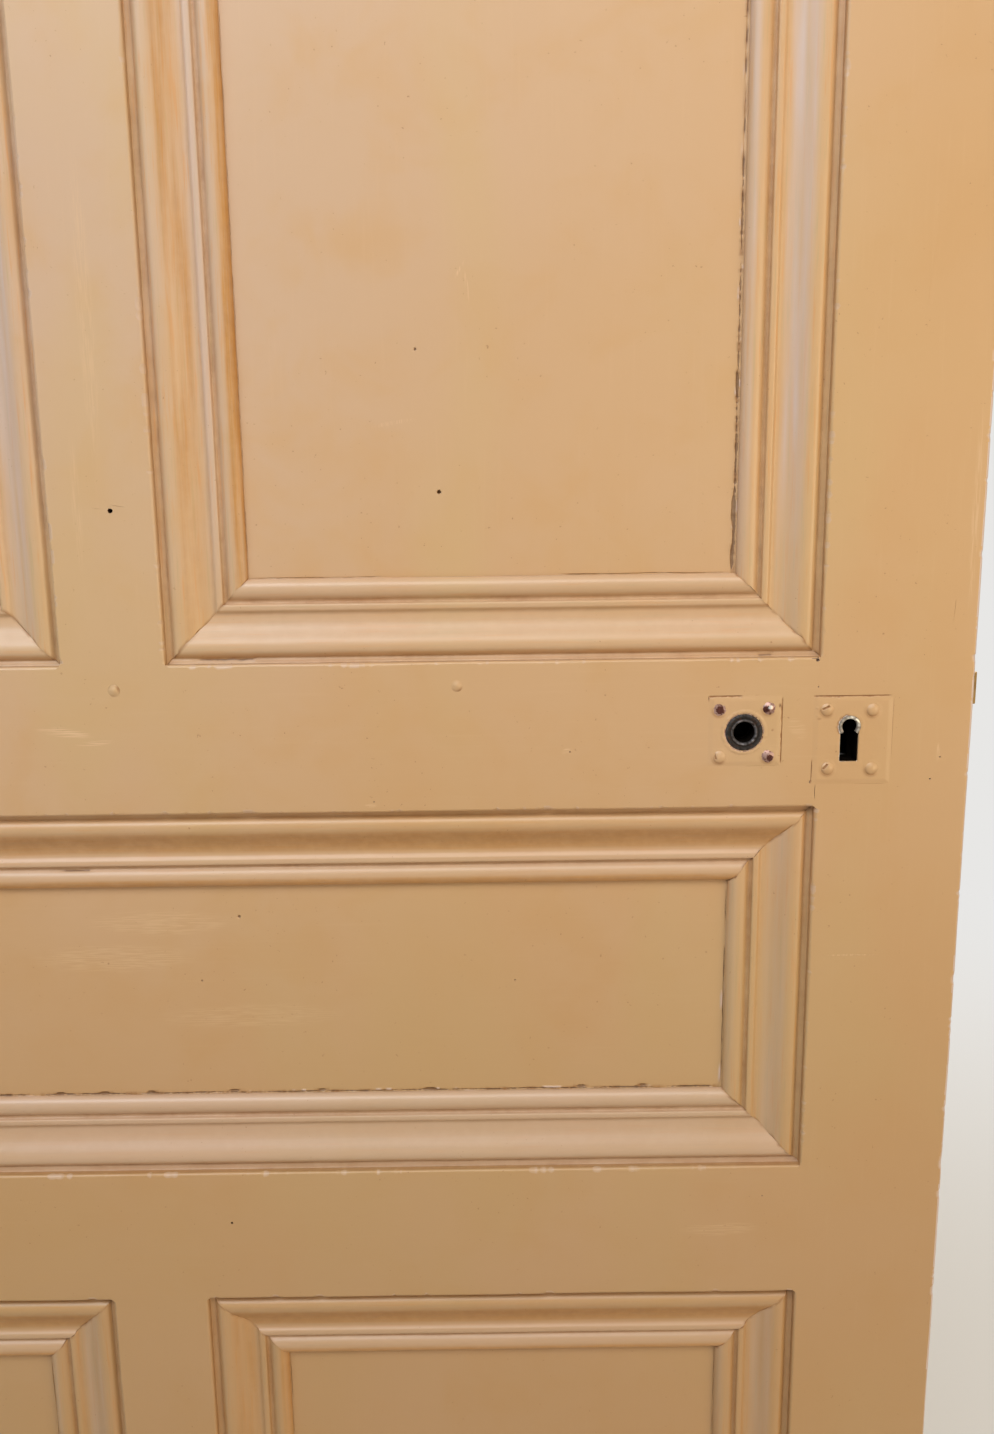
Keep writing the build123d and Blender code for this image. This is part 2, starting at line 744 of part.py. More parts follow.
def wood_parts():
    parts = {"hinge_stile": stile(-1), "lock_stile": stile(1)}
    for name in rail_tenons():
        parts[name] = rail(name)
    parts["upper_muntin"] = muntin(upper_opening_bottom, upper_opening_top)
    parts["lower_muntin"] = muntin(bottom_rail_h, lower_opening_top)
    parts["top_rail"] -= muntin_mortice(upper_opening_top, upper_opening_top + muntin_tenon_len)
    parts["lock_rail"] -= muntin_mortice(upper_opening_bottom - muntin_tenon_len, upper_opening_bottom)
    parts["middle_rail"] -= muntin_mortice(lower_opening_top, lower_opening_top + muntin_tenon_len)
    parts["bottom_rail"] -= muntin_mortice(bottom_rail_h - muntin_tenon_len, bottom_rail_h)
    for cut in lock_cuts():
        parts["lock_stile"] -= cut
        parts["lock_rail"] -= cut
    for cut in hinge_cuts():
        parts["hinge_stile"] -= cut
        for name in rail_tenons():
            if boxes_meet(parts[name].bounding_box(), cut.bounding_box()):
                parts[name] -= cut
    peg_hole = rod_y(peg_x, peg_z, peg_r + fit_gap, 0, peg_len)
    parts["lock_rail"] -= peg_hole
    parts["upper_muntin"] -= peg_hole
    parts["lock_rail"] -= rod_y(nail_x, nail_z, nail_shank_r + fit_gap, 0, nail_len + 0.5)
    return parts


def domed_peg(x, z, head_r, shank_r, rise, depth):
    ball_r = (head_r * head_r + rise * rise) / (2 * rise)
    ball = Pos(x, ball_r - rise, z) * Sphere(ball_r)
    head = ball & slab(x - 6, x + 6, -rise - 1, 0, z - 6, z + 6)
    return head + rod_y(x, z, shank_r, 0, depth)


def tenon_wedges():
    wedges = []
    for name, (z0, z1, tenons, below, above) in rail_tenons().items():
        for side in (-1, 1):
            for t0, t1 in tenons:
                for y0, y1 in tenon_layers(name, side):
                    wedges += [whole(w) for w in wedges_at(t0, t1, y0, y1, side)]
    return trim_wedges(wedges)


def trim_wedges(wedges):
    # the forend, the lock's screws and the hinge flaps are let in after wedging
    cuts = lock_cuts() + hinge_cuts()
    out = []
    for wedge in wedges:
        shape = wedge
        for cut in cuts:
            if boxes_meet(shape.bounding_box(), cut.bounding_box()):
                shape = shape - cut
        out.append(whole(shape))
    return out


def boxes_meet(a, b):
    over_x = a.min.X < b.max.X and b.min.X < a.max.X
    over_y = a.min.Y < b.max.Y and b.min.Y < a.max.Y
    over_z = a.min.Z < b.max.Z and b.min.Z < a.max.Z
    return over_x and over_y and over_z


def lock_parts():
    return {
        "lock_case": lock_case(),
        "lock_cap": lock_cap(),
        "lock_cap_screws": lock_cap_screws(),
        "forend": forend(),
        "forend_screws": forend_screws(),
        "latch_bolt": latch_bolt(),
        "latch_spring": latch_spring(),
        "follower": follower(),
        "dead_bolt": dead_bolt(),
        "bolt_spring": bolt_spring(),
        "knob_plate": knob_plate(),
        "knob_bush": knob_bush(),
        "knob_plate_screws": knob_plate_screws(),
        "key_plate": key_plate(),
        "key_collar": key_collar(),
        "key_plate_screws": key_plate_screws(),
    }


def hinge_parts():
    parts = {"hinge_pins": hinge_pins(), "hinge_screws": hinge_screws()}
    for name, z0 in hinge_low.items():
        parts[name + "_leaf_flap"] = flap(z0, 1, (1, 3), pin_r + fit_gap)
        parts[name + "_frame_flap"] = flap(z0, -1, (0, 2, 4), pin_r + fit_gap)
    return parts


def all_parts():
    parts = wood_parts()
    for name, (x0, x1, z0, z1) in leaf_openings().items():
        parts[name + "_panel"] = panel(x0, x1, z0, z1)
        for side in ("top", "bottom", "left", "right"):
            parts[name + "_moulding_" + side] = strip(side, x0, x1, z0, z1)
    parts["tenon_wedges"] = tenon_wedges()
    parts["muntin_peg"] = domed_peg(peg_x, peg_z, peg_r, peg_r, peg_rise, peg_len)
    parts["rail_nail"] = domed_peg(nail_x, nail_z, nail_head_r, nail_shank_r, peg_rise, nail_len)
    parts.update(lock_parts())
    parts.update(hinge_parts())
    return parts


def save(name, shape):
    solids = shape if isinstance(shape, list) else shape.solids()
    moved = [solid.moved(shift) for solid in solids]
    node = moved[0] if len(moved) == 1 else Compound(children=moved)
    node.label = name
    export_step(node, "parts/" + name + ".step")


os.makedirs("parts", exist_ok=True)
for name, shape in all_parts().items():
    save(name, shape)
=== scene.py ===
import math

import bmesh
import bpy
from mathutils import Matrix, Vector, noise


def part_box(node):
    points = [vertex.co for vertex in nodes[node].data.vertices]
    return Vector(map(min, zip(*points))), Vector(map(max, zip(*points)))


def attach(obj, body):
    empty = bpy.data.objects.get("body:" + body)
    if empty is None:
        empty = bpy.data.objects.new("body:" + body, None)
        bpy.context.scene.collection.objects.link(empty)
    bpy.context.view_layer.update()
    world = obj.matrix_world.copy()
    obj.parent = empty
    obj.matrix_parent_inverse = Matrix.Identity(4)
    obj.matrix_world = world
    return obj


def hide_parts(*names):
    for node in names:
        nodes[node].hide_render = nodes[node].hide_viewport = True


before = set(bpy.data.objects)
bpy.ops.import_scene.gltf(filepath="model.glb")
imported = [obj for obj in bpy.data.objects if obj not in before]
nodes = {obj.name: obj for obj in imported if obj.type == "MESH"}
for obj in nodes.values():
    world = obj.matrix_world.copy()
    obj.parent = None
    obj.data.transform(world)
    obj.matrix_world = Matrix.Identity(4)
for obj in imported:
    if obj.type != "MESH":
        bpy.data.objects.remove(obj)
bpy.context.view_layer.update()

# Stiles, rails and muntins: planed softwood, morticed and tenoned together and painted many
# times over. The solids give every mortice and groove; a worn outer skin rounds their edges,
# more along the panels and the door's own edges than where two members meet.

MM = 0.001
hinge_side, lock_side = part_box("hinge_stile"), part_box("lock_stile")
MIDDLE_X = round((hinge_side[0][0] + lock_side[1][0]) / 2 / MM, 4)
FACE_Y = round(lock_side[0][1] / MM, 4)
LEAF_T = round((lock_side[1][1] - lock_side[0][1]) / MM, 3)


def box_of(node):
    # left, right, foot and top of a solid, in millimetres from the door's middle and its foot
    low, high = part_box(node)
    sides = (low[0] / MM - MIDDLE_X, high[0] / MM - MIDDLE_X, low[2] / MM, high[2] / MM)
    return tuple(round(side, 3) for side in sides)


STILE_IN = box_of("lock_stile")[0]
MUNTIN = box_of("upper_muntin")[1]
BOTTOM_RAIL_TOP = box_of("bottom_rail")[3]
MIDDLE_RAIL_FOOT, MIDDLE_RAIL_TOP = box_of("middle_rail")[2:]
LOCK_RAIL_FOOT, LOCK_RAIL_TOP = box_of("lock_rail")[2:]
TOP_RAIL_FOOT = box_of("top_rail")[2]


def spot(x, y, z):
    # millimetres from the door's middle, its moulded face and its foot, as a place in metres
    return Vector(((x + MIDDLE_X) * MM, (y + FACE_Y) * MM, z * MM))


def wave(a, b, c=0.0):
    # smooth noise, about -1 to 1
    return noise.noise(Vector((a, b, c)))


def ease(value):
    # a soft step: 0 below 0, 1 above 1
    value = max(0.0, min(1.0, value))
    return value * value * (3 - 2 * value)


def lump(x, z):
    # how far the brushed skin of paint falls back from the planed face, in millimetres
    slow = 0.10 * (0.5 + 0.5 * wave(x / 55, z / 70, 3.1))
    quick = 0.035 * (0.5 + 0.5 * wave(x / 11, z / 15, 7.7))
    return 0.015 + slow + quick


def mesh_object(name, points, faces):
    mesh = bpy.data.meshes.new(name)
    mesh.from_pydata([tuple(p) for p in points], [], faces)
    mesh.update()
    made = bpy.data.objects.new(name, mesh)
    bpy.context.scene.collection.objects.link(made)
    return made


def loft(name, rings):
    # a closed skin through rings with the same number of points, shut by a flat end each way
    count = len(rings[0])
    points = [p for ring in rings for p in ring]
    faces = []
    for i in range(len(rings) - 1):
        a, b = i * count, (i + 1) * count
        for j in range(count):
            k = (j + 1) % count
            faces.append((a + j, a + k, b + k, b + j))
    last = (len(rings) - 1) * count
    faces.append(tuple(range(count))[::-1])
    faces.append(tuple(last + j for j in range(count)))
    made = mesh_object(name, points, faces)
    outwards(made.data)
    return made


def outwards(mesh):
    work = bmesh.new()
    work.from_mesh(mesh)
    bmesh.ops.recalc_face_normals(work, faces=work.faces)
    work.to_mesh(mesh)
    work.free()


def merged_copy(node, name):
    # a closed copy of a solid's loose triangles
    work = bmesh.new()
    work.from_mesh(nodes[node].data)
    bmesh.ops.remove_doubles(work, verts=work.verts, dist=1e-6)
    mesh = bpy.data.meshes.new(name)
    work.to_mesh(mesh)
    work.free()
    made = bpy.data.objects.new(name, mesh)
    bpy.context.scene.collection.objects.link(made)
    return made


def cut(target, tool, how="DIFFERENCE"):
    step = target.modifiers.new("cut", "BOOLEAN")
    step.operation = how
    step.solver = "EXACT"
    step.object = tool
    settle(target)
    spare = tool.data
    bpy.data.objects.remove(tool)
    bpy.data.meshes.remove(spare)


def settle(target):
    # the modifiers' result becomes the plain mesh
    bpy.context.view_layer.update()
    graph = bpy.context.evaluated_depsgraph_get()
    fresh = bpy.data.meshes.new_from_object(target.evaluated_get(graph))
    old = target.data
    target.modifiers.clear()
    target.data = fresh
    fresh.name = target.name
    bpy.data.meshes.remove(old)


def soften(mesh, degrees=35.0):
    # each corner takes the mean slope of the faces round it that turn less than this, by their size,
    # so the slivers that a cut leaves don't show
    mesh.shade_smooth()
    limit = math.cos(math.radians(degrees))
    keys = [tuple(round(value / 2e-5) for value in vertex.co) for vertex in mesh.vertices]
    around = {}
    for face in mesh.polygons:
        for v in face.vertices:
            around.setdefault(keys[v], []).append((face.normal.copy(), face.area))
    slopes = []
    for face in mesh.polygons:
        own = face.normal.copy()
        for v in face.vertices:
            total = Vector()
            for normal, area in around[keys[v]]:
                if normal.dot(own) > limit:
                    total += normal * area
            slopes.append(total.normalized() if total.length > 1e-12 else own)
    mesh.normals_split_custom_set(slopes)


def tell(mesh, name, rule):
    # a number on each face of the mesh, from the place of its middle in millimetres
    values = []
    for face in mesh.polygons:
        p = face.center
        values.append(rule(p.x / MM - MIDDLE_X, p.y / MM - FACE_Y, p.z / MM))
    mesh.attributes.new(name, "FLOAT", "FACE").data.foreach_set("value", values)


def srgb(red, green, blue):
    def one(value):
        value /= 255.0
        return value / 12.92 if value <= 0.04045 else ((value + 0.055) / 1.055) ** 2.4
    return (one(red), one(green), one(blue), 1.0)


class Wire:
    # a number or colour on its way through a finish's nodes
    def __init__(self, finish, socket):
        self.finish, self.socket = finish, socket

    def maths(self, operation, *values):
        return self.finish.node("ShaderNodeMath", {"operation": operation}, dict(enumerate(values)))

    def __add__(self, other):
        return self.maths("ADD", self, other)

    def __radd__(self, other):
        return self.maths("ADD", other, self)

    def __sub__(self, other):
        return self.maths("SUBTRACT", self, other)

    def __rsub__(self, other):
        return self.maths("SUBTRACT", other, self)

    def __mul__(self, other):
        return self.maths("MULTIPLY", self, other)

    def __rmul__(self, other):
        return self.maths("MULTIPLY", other, self)

    def __truediv__(self, other):
        return self.maths("DIVIDE", self, other)

    def least(self, other):
        return self.maths("MINIMUM", self, other)

    def most(self, other):
        return self.maths("MAXIMUM", self, other)

    def power(self, other):
        return self.maths("POWER", self, other)

    def step(self, low, high, start=0.0, end=1.0):
        # a smooth rise from start to end while the number goes from low to high
        return self.finish.node(
            "ShaderNodeMapRange",
            {"interpolation_type": "SMOOTHSTEP"},
            {"Value": self, "From Min": low, "From Max": high, "To Min": start, "To Max": end},
        )


class Finish:
    # one material, or a world: its shader, and nodes that lead to it
    def __init__(self, name, shelf="materials", shader="Principled BSDF"):
        self.material = getattr(bpy.data, shelf).new(name)
        self.material.use_nodes = True
        self.tree = self.material.node_tree
        self.shader = self.tree.nodes[shader]

    def node(self, kind, settings=None, sockets=None, out=0):
        made = self.tree.nodes.new(kind)
        for key, value in (settings or {}).items():
            setattr(made, key, value)
        for key, value in (sockets or {}).items():
            if isinstance(value, Wire):
                self.tree.links.new(value.socket, made.inputs[key])
            else:
                made.inputs[key].default_value = value
        return Wire(self, made.outputs[out])

    def place(self, turn=(0, 0, 0), scale=(1, 1, 1)):
        here = self.node("ShaderNodeTexCoord", out="Object")
        return self.node("ShaderNodeMapping", None, {"Vector": here, "Rotation": turn, "Scale": scale})

    def parts(self, vector):
        split = self.node("ShaderNodeSeparateXYZ", None, {"Vector": vector})
        outputs = split.socket.node.outputs
        return [Wire(self, outputs[i]) for i in range(3)]

    def cloud(self, vector, scale, detail=3.0, rough=0.5, warp=0.0):
        return self.node("ShaderNodeTexNoise", None, {
            "Vector": vector, "Scale": scale, "Detail": detail, "Roughness": rough, "Distortion": warp,
        })

    def mark(self, name):
        return self.node("ShaderNodeAttribute", {"attribute_name": name}, out="Fac")

    def mix(self, amount, first, second):
        sockets = {0: amount, 6: first, 7: second}
        return self.node("ShaderNodeMix", {"data_type": "RGBA"}, sockets, out=2)

    def bump(self, height, strength, distance, under=None):
        sockets = {"Height": height, "Strength": strength, "Distance": distance}
        if under:
            sockets["Normal"] = under
        return self.node("ShaderNodeBump", None, sockets)

    def give(self, socket, wire):
        self.tree.links.new(wire.socket, self.shader.inputs[socket])


def painted(name, brush, bare=False, streaked=0.0, scuffs=()):
    # thick old oil paint, cream gone to tan, brushed along x or z; painted sheen to the upper left, painted
    # warm light towards the right, and painted shade duller towards the door's foot
    finish = Finish(name)
    flat = finish.place()
    across, _, height = finish.parts(finish.node("ShaderNodeTexCoord", out="Object"))
    along = {"x": (1, 12, 26), "z": (26, 12, 1)}[brush]
    lines = finish.cloud(finish.place(scale=along), 16.0, 4.0, 0.6)
    hair = finish.cloud(finish.place(scale=along), 60.0, 2.0, 0.6)
    broad = finish.cloud(flat, 4.0, 2.0, 0.5)
    patch = finish.cloud(flat, 22.0, 3.0, 0.55, 0.4)
    fine = finish.cloud(flat, 160.0, 3.0, 0.6)
    speck = finish.cloud(flat, 520.0, 2.0, 0.5)
    grimy_shade, crack = finish.mark("grimy_shade"), finish.mark("crack")
    pale_sheen_and_wear, warm_light_streaks = finish.mark("pale_sheen_and_wear"), finish.mark("warm_light_streaks")
    colour = finish.mix(broad.step(0.35, 0.68), PAINT, PAINT_PINK)
    # painted sheen: paler and pinker towards the upper left, as cool light mirrored in the gloss
    sky_sheen_share = across.step(0.0, 0.4, 1.0, 0.0) * height.step(0.8, 1.25)
    colour = finish.mix(sky_sheen_share * 0.75, colour, PAINT_SKY_SHEEN)
    # painted light: warmer and more ochre towards the right, away from the cool sheen; the ochre patches
    # after it are the paint's own
    colour = finish.mix(across.step(0.2, 0.46) * 0.4, colour, PAINT_OCHRE)
    colour = finish.mix(patch.step(0.42, 0.78) * 0.5, colour, PAINT_OCHRE)
    drift = finish.cloud(finish.place(scale=(1.4, 1, 0.7)), 5.0, 2.0, 0.5, 0.3)
    colour = finish.mix(drift.step(0.46, 0.68) * 0.55, colour, PAINT_YELLOW)
    colour = finish.mix(lines.step(0.55, 0.8) * 0.1, colour, PAINT_PALE)
    if streaked:
        coats = finish.cloud(finish.place(scale=along), 26.0, 3.0, 0.6)
        colour = finish.mix(coats.step(0.54, 0.7) * streaked, colour, AMBER)
        colour = finish.mix((1 - coats).step(0.54, 0.7) * streaked, colour, DRAB)
    # painted shade: darker and browner towards the door's foot, where the light falls off
    colour = finish.mix(height.step(0.5, 1.15, 0.55, 0.0), colour, FOOT_SHADE_TONE)
    for x, z, long, wide, tilt, strength in scuffs:
        # a rubbed place, broken up by the brush lines under it
        at = spot(x, 0, z)
        c, d = math.cos(math.radians(tilt)), math.sin(math.radians(tilt))
        dx, dz = across - at.x, height - at.z
        a, b = (dx * c + dz * d) / (long * MM), (dz * c - dx * d) / (wide * MM)
        reach = (a * a + b * b).step(0.1, 1.0, 1.0, 0.0)
        colour = finish.mix(reach * hair.step(0.42, 0.62) * strength, colour, PAINT_PALE)
    # painted sheen and highlights on faces as they turn, and pale paint where it has lifted or flaked
    colour = finish.mix(pale_sheen_and_wear * patch.step(0.2, 0.7, 0.7, 1.0), colour, PALE_SHEEN_AND_WEAR)
    # painted warm light, in streaks, on moulding faces that turn right or down
    colour = finish.mix(warm_light_streaks * hair.step(0.3, 0.7, 0.5, 1.0), colour, WARM_LIGHT_STREAKS)
    # dirt, and painted shade where the mark also holds it: in quirks, grooves, holes and on the shaded sides
    # of heads
    grimy_shade_mix = grimy_shade * fine.step(0.25, 0.7, 0.55, 1.0)
    colour = finish.mix(grimy_shade_mix.least(1.0), colour, GRIMY_SHADE_TONE)
    dot = speck.step(0.735, 0.76) * patch.step(0.4, 0.6)
    colour = finish.mix(dot * 0.5, colour, GRIMY_SHADE_TONE)
    colour = finish.mix(crack.step(0.25, 0.8), colour, CRACK)
    if bare:
        worn, rust, polish_and_glint = finish.mark("bare"), finish.mark("rust"), finish.mark("polish_and_glint")
        rub = (worn * 1.6 + fine - 0.75).step(0.0, 0.35) * worn.step(0.02, 0.1)
        rusty = (rust * 1.7 + fine - 0.8).step(0.0, 0.35) * rust.step(0.02, 0.1)
        bright = (polish_and_glint * 1.5 + fine - 0.7).step(0.0, 0.4) * polish_and_glint.step(0.02, 0.1)
        colour = finish.mix(rub, colour, finish.mix(speck.step(0.45, 0.65), IRON_GREY, IRON_BROWN))
        colour = finish.mix(rusty, colour, RUST)
        colour = finish.mix(bright, colour, IRON_BRIGHT)
        finish.give("Metallic", (rub * 0.45 + polish_and_glint * 0.4).least(0.8))
    finish.give("Base Color", colour)
    finish.give("Roughness", 0.29 + fine * 0.08 + grimy_shade * 0.3 + broad * 0.06)
    relief = lines * 0.35 + hair * 0.1 + fine * 0.2 + patch * 0.9
    finish.give("Normal", finish.bump(relief, 0.25, 0.0003))
    return finish.material


PAINT = srgb(207, 164, 117)
PAINT_PINK = srgb(209, 169, 129)
PAINT_YELLOW = srgb(205, 170, 120)
# the tone of the painted sheen to the upper left
PAINT_SKY_SHEEN = srgb(203, 171, 145)
PAINT_OCHRE = srgb(204, 158, 106)
PAINT_PALE = srgb(222, 185, 144)
# the tone of the painted shade towards the foot
FOOT_SHADE_TONE = srgb(158, 116, 66)
PALE_SHEEN_AND_WEAR = srgb(208, 183, 170)
WARM_LIGHT_STREAKS = srgb(204, 146, 76)
AMBER = srgb(212, 150, 88)
DRAB = srgb(190, 162, 120)
GRIMY_SHADE_TONE = srgb(142, 90, 40)
CRACK = srgb(80, 53, 36)
IRON_GREY = srgb(166, 132, 120)
IRON_BROWN = srgb(112, 72, 58)
IRON_BRIGHT = srgb(206, 200, 192)
RUST = srgb(78, 34, 22)


def greasy_and_shaded():
    # near black for the insides of the mortice, the spindle's bore and the keyhole: painted shade where they
    # lie in the dark, over old grease and dust
    finish = Finish("hole_shade_and_grease")
    blot = finish.cloud(finish.place(), 300.0, 3.0, 0.6)
    finish.give("Base Color", finish.mix(blot.step(0.4, 0.7), srgb(24, 19, 15), srgb(14, 11, 9)))
    finish.give("Roughness", 0.85 + blot * 0.1)
    finish.shader.inputs["Specular IOR Level"].default_value = 0.0
    return finish.material


hole_shade_and_grease = greasy_and_shaded()
# rubbed places: middle, half length and half width, tilt in degrees and strength
RAIL_SCUFFS = (
    (-28.0, 969.0, 17.0, 3.2, -8.0, 0.9), (-12.0, 963.0, 12.0, 1.6, 4.0, 0.8),
    (240.0, 955.5, 3.0, 1.6, 20.0, 0.7), (134.0, 926.5, 4.0, 1.3, 0.0, 0.8),
    (330.0, 668.0, 26.0, 5.0, 2.0, 0.25), (364.0, 966.0, 5.0, 8.0, 40.0, 0.35),
)
STILE_SCUFFS = (
    (398.0, 837.0, 17.0, 0.5, 0.0, 0.8), (440.0, 952.0, 6.0, 1.2, 90.0, 0.6),
    (452.0, 1080.0, 60.0, 2.5, 90.0, 0.5), (0.0, 1180.0, 90.0, 5.0, 90.0, 0.35),
    (-12.0, 1090.0, 40.0, 3.0, 90.0, 0.35),
)
upright_paint = painted("upright_paint", "z", scuffs=STILE_SCUFFS)
level_paint = painted("level_paint", "x", scuffs=RAIL_SCUFFS)

TALL = (
    (BOTTOM_RAIL_TOP, MIDDLE_RAIL_FOOT), (MIDDLE_RAIL_TOP, LOCK_RAIL_FOOT), (LOCK_RAIL_TOP, TOP_RAIL_FOOT),
)
UPPER = ((-STILE_IN, -MUNTIN), (MUNTIN, STILE_IN))
ACROSS = ((-STILE_IN, STILE_IN),)
WHOLE = (box_of("lock_stile")[2:],)
# name: way of the grain, spans open on the low and on the high edge
MEMBERS = {
    "bottom_rail": ("x", ACROSS, UPPER), "middle_rail": ("x", UPPER, ACROSS),
    "lock_rail": ("x", ACROSS, UPPER), "top_rail": ("x", UPPER, ACROSS),
    "lower_muntin": ("z", TALL[:1], TALL[:1]), "upper_muntin": ("z", TALL[2:], TALL[2:]),
    "hinge_stile": ("z", WHOLE, TALL), "lock_stile": ("z", TALL, WHOLE),
}
# each member's low and high edge, and its start and end along the grain
EDGES = {}
for name, (grain, *_) in MEMBERS.items():
    left, right, foot, top = box_of(name)
    EDGES[name] = (foot, top, left, right) if grain == "x" else (left, right, foot, top)


def openness(s, spans):
    # 1 well inside an open span, 0 where another member meets the edge
    reach = 0.0
    for start, end in spans:
        reach = max(reach, min(1.0, (s - start) / 1.6, (end - s) / 1.6))
    return max(0.0, reach)


# where the paint has flaked from the edges: from, to
FLAKED = {
    "lock_rail": (-60.0, 372.0), "middle_rail": (-60.0, 372.0),
    "lock_stile": (620.0, 1300.0), "upper_muntin": (1006.0, 1300.0),
}


def flake(name, s, edge):
    # how far a flake bites into the edge at this place along it
    first, last = FLAKED.get(name, (0.0, 0.0))
    if not first < s < last:
        return 0.0
    seed = len(name) + edge * 0.31
    return 1.1 * ease((wave(s / 9, seed) + 0.7 * wave(s / 2.4, seed + 1) - 0.22) / 0.3)


# how wide an arris is rounded, and how far a skin stays inside the faces of the joints
ARRIS = 1.5
SHY_BY = 0.004
# how far from its ends a member is rounded, and how it gives way there
END_ROUND = 0.9
END_SHY = 0.8


def member_skin(name):
    # the worn outside of one member, with its arrises rounded and flaked where they are open
    grain, spans_low, spans_high = MEMBERS[name]
    low, high, start, end = EDGES[name]
    stops = {start, start + END_ROUND, end - END_ROUND, end}
    for spans in (spans_low, spans_high):
        for a, b in spans:
            stops |= {a - 0.05, a + 0.5, a + 1.1, a + 1.7, b + 0.05, b - 0.5, b - 1.1, b - 1.7}
    count = int((end - start) / 13)
    stops |= {start + (end - start) * i / count for i in range(count + 1)}
    if name in FLAKED:
        first, last = FLAKED[name]
        stops |= {first + 1.6 * i for i in range(int((last - first) / 1.6))}
    stops = sorted(s for s in stops if start <= s <= end)
    rings = []
    for s in stops:
        seed = low * 0.37 + 5.0
        free_low, free_high = openness(s, spans_low), openness(s, spans_high)
        wide_low = 0.025 + free_low * (ARRIS + 0.5 * wave(s / 42, seed) + flake(name, s, low))
        wide_high = 0.025 + free_high * (ARRIS + 0.5 * wave(s / 42, seed + 9) + flake(name, s, high))
        shy = END_SHY * max(0.0, 1 - min(s - start, end - s) / END_ROUND)
        side_low = low + SHY_BY + shy + free_low * 0.08 * (0.5 + 0.5 * wave(s / 60, seed + 3))
        side_high = high - SHY_BY - shy - free_high * 0.08 * (0.5 + 0.5 * wave(s / 60, seed + 6))

        def front(a):
            x, z = (s, a) if grain == "x" else (a, s)
            return lump(x, z) + shy

        section = []
        inner = 8
        flat_low, flat_high = side_low + wide_low, side_high - wide_high
        turns = [i * math.pi / 8 for i in range(5)]
        for t in turns[::-1]:
            a = side_low + wide_low * (1 - math.sin(t))
            section.append((a, front(flat_low) + wide_low * (1 - math.cos(t))))
        for i in range(1, inner):
            a = flat_low + (flat_high - flat_low) * i / inner
            section.append((a, front(a)))
        for t in turns:
            a = side_high - wide_high * (1 - math.sin(t))
            section.append((a, front(flat_high) + wide_high * (1 - math.cos(t))))
        back = LEAF_T - 0.02 - shy
        for t in turns[::-1]:
            section.append((side_high - wide_high * (1 - math.sin(t)), back - wide_high * (1 - math.cos(t))))
        for t in turns:
            section.append((side_low + wide_low * (1 - math.sin(t)), back - wide_low * (1 - math.cos(t))))
        if grain == "x":
            rings.append([spot(s, y, a) for a, y in section])
        else:
            rings.append([spot(a, y, s) for a, y in section])
    return loft(name + "_skin", rings)


def pit(name, x, z, radius, depth, face=0.0):
    # the shape of a small uneven hole, such as one that a nail has left
    rings = []
    for y, share in ((face - 1.0, 1.25), (face, 1.0), (face + depth * 0.6, 0.7), (face + depth, 0.25)):
        ring = []
        for i in range(12):
            t = i * math.pi / 6
            r = radius * share * (1 + 0.3 * wave(math.cos(t) * 1.3 + x, math.sin(t) * 1.3 + z, y))
            ring.append(spot(x + r * math.cos(t), y, z + r * math.sin(t)))
        rings.append(ring)
    return loft(name, rings)


def fissure(name, track, width, depth, seed, face=0.0):
    # the shape of a crack in the paint along a line of (x, z) points, opening and closing as it goes
    points, far = [], [0.0]
    for a, b in zip(track, track[1:]):
        steps = max(2, int(math.dist(a, b) / 2.5))
        for i in range(steps):
            points.append((a[0] + (b[0] - a[0]) * i / steps, a[1] + (b[1] - a[1]) * i / steps))
    points.append(track[-1])
    for a, b in zip(points, points[1:]):
        far.append(far[-1] + math.dist(a, b))
    rings = []
    for i, (x, z) in enumerate(points):
        before, after = points[max(0, i - 1)], points[min(len(points) - 1, i + 1)]
        dx, dz = after[0] - before[0], after[1] - before[1]
        span = math.hypot(dx, dz)
        nx, nz = -dz / span, dx / span
        end = min(1.0, 0.15 + min(far[i], far[-1] - far[i]) / 4.0)
        wander = wave(far[i] / 9, seed) + 0.6 * wave(far[i] / 3, seed + 4)
        open_by = width * end * (0.55 + 0.9 * max(-0.45, wander))
        drift = 0.25 * wave(far[i] / 14, seed + 8)
        ring = []
        for across, y in ((-1.0, -0.6), (-0.8, 0.35 * depth), (0.0, depth), (0.8, 0.35 * depth), (1.0, -0.6)):
            reach = drift + across * open_by / 2
            ring.append(spot(x + nx * reach, face + y, z + nz * reach))
        rings.append(ring)
    return loft(name, rings)


# small holes and dents: place, radius and depth
PITS = {
    "upper_muntin": ((5.2, 1085.3, 1.35, 4.5),),
    "middle_rail": ((45.0, 676.2, 0.75, 1.6), (353.7, 689.0, 0.6, 0.35), (-120.0, 660.0, 0.5, 0.3)),
    "lock_rail": (
        (242.1, 954.9, 0.55, 0.5), (372.0, 936.6, 1.2, 0.42), (136.0, 928.6, 0.7, 0.25),
        (373.4, 1003.0, 1.1, 0.9), (374.3, 988.6, 0.55, 0.4),
    ),
    "lock_stile": ((436.6, 937.4, 0.6, 0.5), (441.3, 949.5, 0.55, 0.5)),
}
